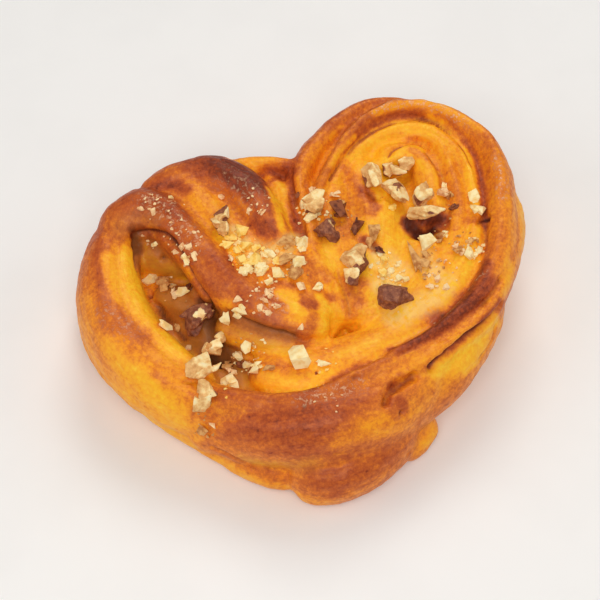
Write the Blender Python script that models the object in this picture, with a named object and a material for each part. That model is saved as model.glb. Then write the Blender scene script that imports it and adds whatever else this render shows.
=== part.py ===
"""A heart-shaped sugar bun: rolled sweet dough folded into a heart, with chopped walnuts on it.

Run with blender --background --python part.py. Lengths are in millimetres in the tables below
and become metres when a shape is placed. +Z is up, +Y runs from the heart's point to its cleft,
and the origin is under the middle of the bun, on the surface that it rests on.
"""

import math
import random

import bmesh
import bpy
from mathutils import Matrix, Vector

MM = 0.001

# The body: a bulging heart under the folds, cut flat where it rests.
BODY_TOP = 21.0
BODY_BOTTOM = -2.5
BODY_LEVELS = 10
BODY_ROUNDNESS = 2.6
BODY_INSET = 14.0
OUTLINE_STEPS = 8
HEART_OUTLINE = (
    (-2, -46),
    (-14, -42),
    (-29, -33),
    (-45, -17),
    (-54.5, 4),
    (-51, 24),
    (-36, 34),
    (-14, 36),
    (2, 31),
    (14, 42),
    (31, 49),
    (47, 44),
    (57, 27),
    (57.5, 8),
    (47, -13),
    (29, -34),
    (13, -45),
)

# The folds: each is a roll of dough through stations of
# (x, y, height of its crest, half its width, half its height).
# A roll narrows to its tip share over its last bit, which is as long as half its width.
RING_SIDES = 14
STEPS_PER_SPAN = 5
TIP_SHARE = 0.15
FOLDS = {
    "right_bed": (
        (33, 30, 33.5, 15, 9),
        (36, 12, 32.5, 17, 9),
        (26, -6, 31, 17, 9),
        (12, -18, 28, 12, 8),
    ),
    "left_bed": (
        (-22, 28, 33, 10, 9),
        (-12, 12, 33, 13, 9),
        (0, -6, 31, 11, 9),
        (9, -14, 29, 8, 8),
    ),
    "right_rim": (
        (7, 16.5, 35.5, 2.4, 7),
        (10, 24, 37.6, 2.6, 8),
        (14.6, 31, 39, 2.8, 8),
        (19.2, 36.6, 40, 3, 9),
        (25, 41.8, 40.8, 3.1, 9),
        (34.5, 45.2, 41.2, 3.2, 9),
        (43.7, 43.1, 41.2, 3.4, 9),
        (50.6, 37.6, 41.2, 3.7, 9),
        (56, 30.6, 41, 4.1, 9),
        (57.5, 20, 40.6, 4.5, 9),
        (55.8, 10, 39.6, 4.8, 9),
        (53.6, 0, 38.4, 4.9, 9),
        (50, -8.4, 37, 4.9, 8.5),
        (44.5, -15.6, 35.8, 4.4, 8),
        (36.4, -21.7, 34.4, 3.6, 8),
        (26.5, -26.3, 33, 2.8, 7.5),
        (17, -29, 31.8, 2.2, 7),
    ),
    "right_outer": (
        (4.5, 13, 34, 2.4, 8),
        (4.6, 24.5, 35.5, 3.6, 8),
        (7, 34, 36.5, 4.6, 9),
        (13.7, 41, 37.8, 5, 12),
        (21.4, 46.2, 38.6, 5, 14),
        (30.6, 49, 38.8, 4.6, 15.5),
        (41, 46.4, 38.4, 4.2, 15.5),
        (48.4, 41.6, 37, 4.2, 15),
        (54.2, 34.6, 34, 4, 13),
        (57.4, 26, 31.5, 3.6, 10.5),
    ),
    "plate_outer": (
        (11, 22, 35, 4, 5),
        (18, 34, 36.5, 4.5, 5),
        (27.5, 39.5, 37, 4.4, 5),
        (37, 40, 37.2, 4.2, 5),
        (44.5, 36.5, 37.2, 3.8, 5),
        (49.3, 28, 37, 3.3, 5),
        (50, 16, 36.4, 3.2, 5),
        (48, 5, 35.4, 3.8, 5),
        (40, -9, 33.2, 5.5, 5),
        (27, -19, 30.6, 6, 5),
    ),
    "plate_inner": (
        (35, 37.5, 36.2, 2.4, 5),
        (41, 37, 36.8, 2.6, 5),
        (44.8, 31.5, 37, 2.8, 5),
        (45.5, 22, 36.8, 3, 5),
        (45, 12, 36, 3.6, 5),
        (41, 1, 34.2, 5, 5),
        (32, -9, 32, 6, 5),
        (18, -18, 29.8, 6, 5),
    ),
    "swirl_core": (
        (26, 31, 35.6, 5, 5),
        (33, 32.5, 36.3, 4.4, 5),
        (38.5, 29, 36.3, 4.4, 5),
        (39, 20, 36, 4.8, 5),
        (36, 8, 34.6, 7, 6),
        (28, -5, 32.6, 9, 6),
        (18, -14, 30.6, 8, 6),
    ),
    "fan_right": (
        (21, 36, 34.2, 6, 6),
        (21.5, 29, 35.4, 8, 6),
        (23, 18, 35.4, 8.5, 6),
        (21, 5, 34.2, 9, 6),
        (17, -7, 32.4, 8.5, 6),
        (13, -16, 30, 6.5, 5),
    ),
    "fan_middle": (
        (14.5, 28, 34.8, 5, 6),
        (12.5, 18, 35.6, 6.5, 6),
        (11, 5, 34.6, 7.5, 6),
        (11, -7, 32.4, 7, 6),
        (12, -15, 29.8, 6, 6),
    ),
    "fan_left": (
        (6.5, 20, 35.6, 2.8, 6),
        (5, 13, 35.6, 3.6, 6),
        (4.4, 4, 35, 4.2, 6),
        (7, -5, 33.2, 4.5, 6),
    ),
    "left_hood": (
        (-47, 16, 31, 5, 8),
        (-46, 21, 34.6, 5.8, 9),
        (-43, 25, 36.6, 7, 9.5),
        (-37.5, 26.5, 38, 7.5, 9.5),
        (-31.5, 21.5, 38.8, 6.5, 9),
        (-27, 12, 38.7, 6, 8),
    ),
    "left_ridge": (
        (-41.5, 30.3, 36.5, 5.5, 9),
        (-34, 24.5, 38.4, 6, 9),
        (-26.5, 12.5, 38.6, 6, 8),
        (-21.5, 2, 37.8, 6.3, 8),
        (-15.5, -5.5, 36.2, 6.6, 7),
        (-8, -11.5, 34.6, 6.6, 6),
        (0, -14.5, 33, 6.4, 5.5),
        (5.5, -14.8, 31.6, 5.5, 4.5),
    ),
    "left_valley": (
        (-35, 34, 35.5, 5, 8),
        (-25, 30, 36.2, 7, 8),
        (-18, 17, 36.4, 8.5, 8),
        (-10, 3, 36, 9, 8),
        (0, -8, 34, 8, 7),
        (7, -13, 31.6, 6, 5),
    ),
    "dark_ridge": (
        (-38, 31.5, 34, 4, 9),
        (-29, 34.3, 37.6, 6, 11),
        (-18.5, 34, 39.6, 7.5, 12.5),
        (-10.5, 27.5, 40.2, 7.3, 11),
        (-6.8, 17, 39, 6.5, 9),
        (-3.5, 5, 36.8, 6.5, 8),
        (4, -6, 33.4, 6, 6),
    ),
    "back_strip": (
        (-17, 35, 34, 5, 14),
        (-9.5, 36.8, 35.2, 4.4, 15.5),
        (-2, 35.8, 35.4, 4, 15.5),
        (4.7, 34.3, 35, 3.6, 15),
        (11, 34.5, 33, 4, 14),
    ),
    "cleft_column": (
        (-4, 34, 31, 4, 9),
        (-0.5, 27, 33, 4.2, 9),
        (0.5, 15, 34, 3.8, 9),
        (1, 3, 34, 4, 8),
    ),
    "left_wall": (
        (-43, 26, 34, 7, 11),
        (-48.5, 18, 34, 7, 12),
        (-51, 7, 33.4, 8, 12),
        (-49.6, -6, 32.2, 8, 12),
        (-42, -18.5, 30, 8, 12),
        (-32, -27.3, 27.5, 7, 11),
        (-23, -34, 25, 6, 9),
    ),
    "left_slope": (
        (-44.5, 20, 32.6, 5.5, 8),
        (-46, 9, 32, 5.6, 8),
        (-44.5, -3, 31, 6, 8),
        (-39.5, -13.5, 29.6, 6, 8),
        (-33, -21.5, 28.2, 6, 8),
        (-27, -27, 26.8, 6, 8),
    ),
    "pocket_dome": (
        (-41, 19, 26.5, 4.5, 6),
        (-36.5, 17, 28.8, 5, 7),
        (-31, 14.5, 28.4, 5, 7),
        (-27, 11, 26, 4, 6),
    ),
    "pocket_roll": (
        (-38, 8, 24.5, 4, 5),
        (-34, 4, 24.8, 4.6, 5),
        (-30, 1, 26, 5.2, 6),
        (-26, -3, 25, 5, 5),
        (-24, -12, 22, 5, 4),
    ),
    "under_tongue": (
        (-23, -6.5, 27.5, 4.5, 5),
        (-16, -12.4, 29.2, 5.4, 5),
        (-8, -16.6, 29.8, 5.4, 5),
        (3, -19, 29.6, 5.4, 5),
    ),
    "front_strip": (
        (-17, -21, 26, 5, 5),
        (-6, -26, 28.2, 8, 5),
        (8, -26, 29, 8.5, 5),
        (21, -21, 29.8, 7.5, 5),
        (34, -12, 31, 6, 5),
    ),
    "apron_lip": (
        (-31, -27, 26.5, 4.5, 7),
        (-23, -32, 28, 5, 7),
        (-12, -36, 29.8, 4.2, 7),
        (-2, -36.5, 31, 3.6, 7),
        (8, -33.5, 31.6, 3.2, 7),
        (18, -30.2, 31.8, 2.8, 7),
        (27, -27, 32, 2.6, 7),
    ),
    "apron": (
        (-34.5, -30, 16, 3, 5),
        (-29, -33.5, 20, 4.5, 7.5),
        (-21.5, -37.3, 24.8, 6, 9.5),
        (-12, -40, 28.8, 8, 11),
        (2, -40.5, 30.3, 9.5, 12),
        (18, -36, 29, 9, 11.5),
        (32, -26.5, 28.8, 6.5, 10),
        (44, -14, 29.5, 6, 9),
    ),
    "right_under_rim": (
        (12, -35.5, 29.5, 5, 8),
        (20.5, -32.8, 31, 4.4, 7),
        (27.5, -30.6, 31.6, 3.4, 6),
        (35.5, -26.8, 32.4, 2.6, 6),
        (43.5, -21.9, 33.2, 2.6, 6),
        (49.8, -15, 34, 2.6, 6),
        (54.6, -5.5, 34.4, 3.2, 7),
        (58.4, 6, 34, 4.4, 9),
        (59.6, 18, 32, 4.2, 9),
        (58.4, 29.4, 31, 4, 9),
    ),
    "right_flank": (
        (13, -42, 19, 6, 8),
        (22.6, -37.2, 22.5, 5, 8),
        (32.4, -32.3, 24.8, 4.6, 8),
        (40.8, -25, 26.4, 4.2, 8),
        (46.8, -17.2, 27, 4.2, 8),
        (50.4, -6.2, 26, 4.6, 9),
        (53.2, 4.5, 24, 4.6, 9),
    ),
    "base_roll": (
        (-12, 35.5, 21, 5, 9),
        (-26, 36.5, 21, 6, 9),
        (-39.5, 31, 21, 6, 9),
        (-48.3, 25.2, 20.5, 6, 9),
        (-52.4, 18, 20, 6, 9),
        (-53.3, 4, 20, 6, 9),
        (-47.6, -10.4, 19, 6, 9),
        (-36.1, -23.2, 16, 6, 8),
        (-25.2, -33, 12.5, 6, 6.5),
        (-15.4, -41.1, 11.5, 6.5, 6),
        (-6.4, -44.2, 11.5, 6.5, 6),
    ),
    "point_roll": (
        (-10.5, -45.1, 16.5, 6, 8.5),
        (-3.1, -48.6, 17, 6.8, 9),
        (5, -48.2, 17.5, 6.8, 9),
        (14, -43.4, 19, 6.8, 10),
        (22.8, -36.8, 20, 6, 10),
    ),
    "base_tab": (
        (28.8, -33.2, 10.5, 5, 5.5),
        (23.8, -39, 10, 5, 5.5),
        (17.4, -43, 9.5, 5, 5),
    ),
}

# The shell that joins the folds into one piece of dough.
VOXEL = 1.3
SMOOTHING_PASSES = 2
KEPT_SHARE = 0.14
FOOT_REACH = 90.0
FOOT_DEPTH = 10.0

# The middle of the bun in the tables above; it becomes the origin.
MIDDLE = (2.2, -1.05)

# Chopped walnuts: (x, y, z of the middle, length, width, thickness, turn, lean along x, lean along y),
# the last three in degrees.
WALNUTS = (
    (13.8, -2.3, 34.3, 14.0, 7.8, 5.6, 72, 8, 8),
    (22.9, -12.8, 31.8, 10.0, 7.6, 5.2, -10, -8, 17),
    (23.5, 23.0, 36.8, 9.2, 5.4, 4.8, 87, 5, 0),
    (31.8, 26.6, 35.1, 9.8, 5.0, 4.4, 8, 0, 20),
    (29.2, 18.0, 35.6, 8.8, 6.0, 5.2, -72, 16, 0),
    (35.8, 15.2, 36.1, 7.6, 5.4, 5.0, 36, -14, 0),
    (35.3, 9.2, 36.7, 11.0, 3.4, 4.2, -8, -8, 0),
    (6.9, 17.8, 36.5, 7.8, 6.6, 5.2, 80, -8, 0),
    (8.9, 8.9, 35.7, 8.2, 6.4, 5.0, -60, -8, 0),
    (-18.6, 15.8, 37.2, 9.8, 5.2, 4.6, 80, 0, 4),
    (-28.5, -6.6, 26.2, 10.0, 8.6, 7.0, 60, -10, 20),
    (-25.0, -14.2, 23.9, 7.4, 6.2, 5.2, 10, -10, 15),
    (-28.9, -23.0, 28.4, 11.2, 6.8, 4.2, 24, 14, 0),
    (-29.4, -31.8, 28.1, 8.8, 5.8, 4.8, 72, -4, 14),
)
# The pieces that show mostly the brown skin; the others show the pale kernel.
SKIN_SIDE_UP = ("walnut_02", "walnut_09", "walnut_11")
WALNUT_SEED = 7
WALNUT_SUBDIVISIONS = 2
WALNUT_CUTS = 5
CUT_DEPTHS = (0.62, 0.86)
CUT_WELD = 0.02
WALNUT_ROUGHNESS = 0.07
SEAT_GAP = 0.35

CRUST_COLOUR = (0.62, 0.24, 0.05, 1.0)
CRUST_ROUGHNESS = 0.35
KERNEL_COLOUR = (0.78, 0.52, 0.24, 1.0)
SKIN_COLOUR = (0.26, 0.09, 0.04, 1.0)
WALNUT_SURFACE = 0.6


def spline_point(stations, span, share):
    """The values at a share of one span of a Catmull-Rom spline through the stations."""
    count = len(stations)
    p0 = stations[max(span - 1, 0)]
    p1 = stations[span]
    p2 = stations[min(span + 1, count - 1)]
    p3 = stations[min(span + 2, count - 1)]
    values = []
    for a, b, c, d in zip(p0, p1, p2, p3):
        curve = (3 * b - a - 3 * c + d) * share + 2 * a - 5 * b + 4 * c - d
        values.append(0.5 * (2 * b + (c - a + curve * share) * share))
    return values


def closed_spline(points, steps):
    """Points along a closed Catmull-Rom spline, steps of them for each given point."""
    count = len(points)
    wrapped = [points[(i - 1) % count] for i in range(count + 3)]
    return [spline_point(wrapped, i + 1, step / steps) for i in range(count) for step in range(steps)]


def grow_ring(shell, edges):
    """Extrudes a closed ring of edges and returns the new ring's edges and vertices."""
    grown = bmesh.ops.extrude_edge_only(shell, edges=edges)["geom"]
    verts = [item for item in grown if isinstance(item, bmesh.types.BMVert)]
    fresh = set(verts)
    edges = [item for item in grown if isinstance(item, bmesh.types.BMEdge) and fresh.issuperset(item.verts)]
    return edges, verts


def add_fold(shell, stations):
    """Adds one roll of dough to the shell: a ring swept along the stations, with rounded ends."""
    path = [
        spline_point(stations, span, step / STEPS_PER_SPAN)
        for span in range(len(stations) - 1)
        for step in range(STEPS_PER_SPAN)
    ]
    path.append(list(stations[-1]))
    centres = [
        Vector((x - MIDDLE[0], y - MIDDLE[1], top - half_height)) for x, y, top, _, half_height in path
    ]
    run = [0.0]
    for before, after in zip(centres, centres[1:]):
        run.append(run[-1] + (after - before).length)

    edges = []
    last = None
    for index, (_, _, _, half_width, half_height) in enumerate(path):
        ahead = centres[min(index + 1, len(path) - 1)]
        behind = centres[max(index - 1, 0)]
        along = (ahead - behind).normalized()
        across = along.cross(Vector((0, 0, 1))).normalized()
        up = across.cross(along)
        to_end = min(run[index], run[-1] - run[index])
        blunt = 1.0 - min(to_end / half_width, 1.0)
        taper = math.sqrt(1.0 - blunt**2) * (1 - TIP_SHARE) + TIP_SHARE
        turn = Matrix((across, up, along)).transposed().to_4x4()
        size = Matrix.Diagonal((half_width * taper, half_height * taper, 1, 1))
        place = Matrix.Scale(MM, 4) @ Matrix.Translation(centres[index]) @ turn @ size
        if last is None:
            ring = bmesh.ops.create_circle(shell, segments=RING_SIDES, radius=1, cap_ends=True, matrix=place)
            edges = list({edge for vert in ring["verts"] for edge in vert.link_edges})
        else:
            edges, verts = grow_ring(shell, edges)
            bmesh.ops.transform(shell, matrix=place @ last.inverted(), verts=verts)
        last = place
    bmesh.ops.contextual_create(shell, geom=edges)


def add_body(shell):
    """Adds the bulging heart that the folds lie on, level by level from its underside."""
    outline = closed_spline(HEART_OUTLINE, OUTLINE_STEPS)
    middle = (BODY_TOP + BODY_BOTTOM) / 2
    half = (BODY_TOP - BODY_BOTTOM) / 2
    base = [Vector((x - MIDDLE[0], y - MIDDLE[1], middle)) * MM for x, y in outline]
    verts = [shell.verts.new(place) for place in base]
    edges = list(shell.faces.new(verts).edges)
    for level in range(BODY_LEVELS + 1):
        rise = -math.cos(math.pi * level / BODY_LEVELS)
        spread = max(1 - abs(rise) ** BODY_ROUNDNESS, 0.0) ** (1 / BODY_ROUNDNESS)
        inset = (1 - spread) * BODY_INSET
        if level:
            edges, verts = grow_ring(shell, edges)
        for vert, place in zip(verts, base):
            reach = math.hypot(place.x, place.y)
            share = 1 - inset * MM / reach
            vert.co = Vector((place.x * share, place.y * share, (middle + rise * half) * MM))
    bmesh.ops.contextual_create(shell, geom=edges)


def add_walnut(shell, index):
    """Adds one chopped piece of walnut: a ball cut flat on several sides and roughened."""
    x, y, z, length, width, thickness, turn, lean_x, lean_y = WALNUTS[index]
    chance = random.Random(WALNUT_SEED + index)
    bmesh.ops.create_icosphere(shell, subdivisions=WALNUT_SUBDIVISIONS, radius=1)
    for _ in range(WALNUT_CUTS):
        facing = Vector([chance.uniform(-1, 1) for _ in range(3)]).normalized()
        away = chance.uniform(*CUT_DEPTHS)
        whole = shell.verts[:] + shell.edges[:] + shell.faces[:]
        bmesh.ops.bisect_plane(
            shell, geom=whole, dist=CUT_WELD, plane_co=facing * away, plane_no=facing, clear_outer=True
        )
        bmesh.ops.holes_fill(shell, edges=shell.edges)
    bmesh.ops.triangulate(shell, faces=shell.faces)
    for vert in shell.verts:
        vert.co *= 1 + chance.uniform(-WALNUT_ROUGHNESS, WALNUT_ROUGHNESS)
    spans = []
    for axis in range(3):
        reach = [vert.co[axis] for vert in shell.verts]
        spans.append(max(reach) - min(reach))
    size = Matrix.Diagonal((length / spans[0], width / spans[1], thickness / spans[2], 1))
    lean = Matrix.Rotation(math.radians(lean_x), 4, "Y") @ Matrix.Rotation(math.radians(lean_y), 4, "X")
    spin = lean @ Matrix.Rotation(math.radians(turn), 4, "Z")
    spot = Matrix.Translation((x - MIDDLE[0], y - MIDDLE[1], z))
    bmesh.ops.transform(shell, matrix=Matrix.Scale(MM, 4) @ spot @ spin @ size, verts=shell.verts)


def make_material(name, colour, roughness):
    """A plain material for one kind of piece."""
    material = bpy.data.materials.new(name)
    material.use_nodes = True
    shader = material.node_tree.nodes["Principled BSDF"]
    shader.inputs["Base Color"].default_value = colour
    shader.inputs["Roughness"].default_value = roughness
    return material


def make_object(name, shell, material=None):
    """Links a finished bmesh to the scene as an object and frees it."""
    for face in shell.faces:
        face.smooth = True
    mesh = bpy.data.meshes.new(name)
    shell.to_mesh(mesh)
    shell.free()
    if material:
        mesh.materials.append(material)
    made = bpy.data.objects.new(name, mesh)
    bpy.context.scene.collection.objects.link(made)
    return made


def hide_cutter(cutter):
    """Keeps a cutting shape out of the finished part."""
    cutter.hide_render = True
    cutter.display_type = "WIRE"


def cut_with(target, cutter):
    """Takes the cutter's room out of the target."""
    cut = target.modifiers.new("cut", "BOOLEAN")
    cut.operation = "DIFFERENCE"
    cut.solver = "EXACT"
    cut.object = cutter


def make_dough(material):
    """The whole bun: body and folds joined as one solid with a flat foot."""
    shell = bmesh.new()
    add_body(shell)
    for stations in FOLDS.values():
        add_fold(shell, stations)
    bmesh.ops.recalc_face_normals(shell, faces=shell.faces)
    dough = make_object("dough", shell, material)

    join = dough.modifiers.new("join", "REMESH")
    join.mode = "VOXEL"
    join.voxel_size = VOXEL * MM
    join.use_smooth_shade = True
    smooth = dough.modifiers.new("smooth", "SMOOTH")
    smooth.iterations = SMOOTHING_PASSES
    thin = dough.modifiers.new("thin", "DECIMATE")
    thin.ratio = KEPT_SHARE

    table = bmesh.new()
    bmesh.ops.create_cube(
        table,
        size=1,
        matrix=Matrix.Translation((0, 0, -FOOT_DEPTH / 2 * MM))
        @ Matrix.Diagonal((2 * FOOT_REACH * MM, 2 * FOOT_REACH * MM, FOOT_DEPTH * MM, 1)),
    )
    foot = make_object("foot_cutter", table)
    hide_cutter(foot)
    cut_with(dough, foot)
    return dough


def make_walnuts(kernel, skin, dough):
    """The chopped pieces, each cut to sit on the dough with a hair of room."""
    seat = dough.copy()
    seat.name = "seat_cutter"
    seat.data = dough.data.copy()
    bpy.context.scene.collection.objects.link(seat)
    grow = seat.modifiers.new("grow", "DISPLACE")
    grow.strength = SEAT_GAP * MM
    grow.mid_level = 0
    hide_cutter(seat)
    for index in range(len(WALNUTS)):
        name = f"walnut_{index + 1:02d}"
        shell = bmesh.new()
        add_walnut(shell, index)
        piece = make_object(name, shell, skin if name in SKIN_SIDE_UP else kernel)
        cut_with(piece, seat)


def main():
    """Builds every piece."""
    for old in list(bpy.data.objects):
        bpy.data.objects.remove(old)
    crust = make_material("baked_crust", CRUST_COLOUR, CRUST_ROUGHNESS)
    kernel = make_material("walnut_kernel", KERNEL_COLOUR, WALNUT_SURFACE)
    skin = make_material("walnut_skin", SKIN_COLOUR, WALNUT_SURFACE)
    dough = make_dough(crust)
    make_walnuts(kernel, skin, dough)


main()
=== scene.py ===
"""Looks of the heart-shaped sugar bun: baked, egg-washed dough with chopped walnuts, crumbs and sugar on it.

The tables below are in millimetres, in the frame that the bun was measured in. MIDDLE moves them to the row
frame, which is in metres, +Z up, +Y from the heart's point to its cleft.
"""

import logging
import math
import random
from dataclasses import dataclass, field
from enum import Enum

import bmesh
import bpy
import numpy as np
from bmesh.types import BMEdge, BMesh, BMLayerItem, BMVert
from bpy.types import Material, Mesh, Node, NodeSocket, NodeTree, Object
from mathutils import Matrix, Vector, noise
from mathutils.bvhtree import BVHTree


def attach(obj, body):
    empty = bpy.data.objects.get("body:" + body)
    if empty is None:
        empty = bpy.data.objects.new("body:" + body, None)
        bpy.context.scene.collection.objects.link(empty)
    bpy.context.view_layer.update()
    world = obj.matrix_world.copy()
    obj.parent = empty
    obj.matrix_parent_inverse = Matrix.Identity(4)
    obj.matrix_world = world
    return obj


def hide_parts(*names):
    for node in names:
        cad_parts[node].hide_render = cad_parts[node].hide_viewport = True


LOG = logging.getLogger("sugar_bun")

MM = 0.001
MIDDLE = (2.2, -1.05, 0.0)

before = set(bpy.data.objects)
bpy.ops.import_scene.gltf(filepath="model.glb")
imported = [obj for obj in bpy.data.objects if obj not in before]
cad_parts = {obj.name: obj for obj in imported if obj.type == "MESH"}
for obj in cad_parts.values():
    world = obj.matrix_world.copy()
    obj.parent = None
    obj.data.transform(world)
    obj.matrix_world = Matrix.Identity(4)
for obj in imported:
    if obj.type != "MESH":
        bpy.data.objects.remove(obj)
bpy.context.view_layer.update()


# ---------- Shapes of the dough ----------

# The heart that the folds lie on, as seen from above.
HEART_OUTLINE = (
    (-2, -46), (-14, -42), (-29, -33), (-45, -17), (-54.5, 4), (-51, 24), (-36, 34), (-14, 36), (2, 31),
    (14, 42), (31, 49), (47, 44), (57, 27), (57.5, 8), (47, -13), (29, -34), (13, -45),
)

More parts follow.
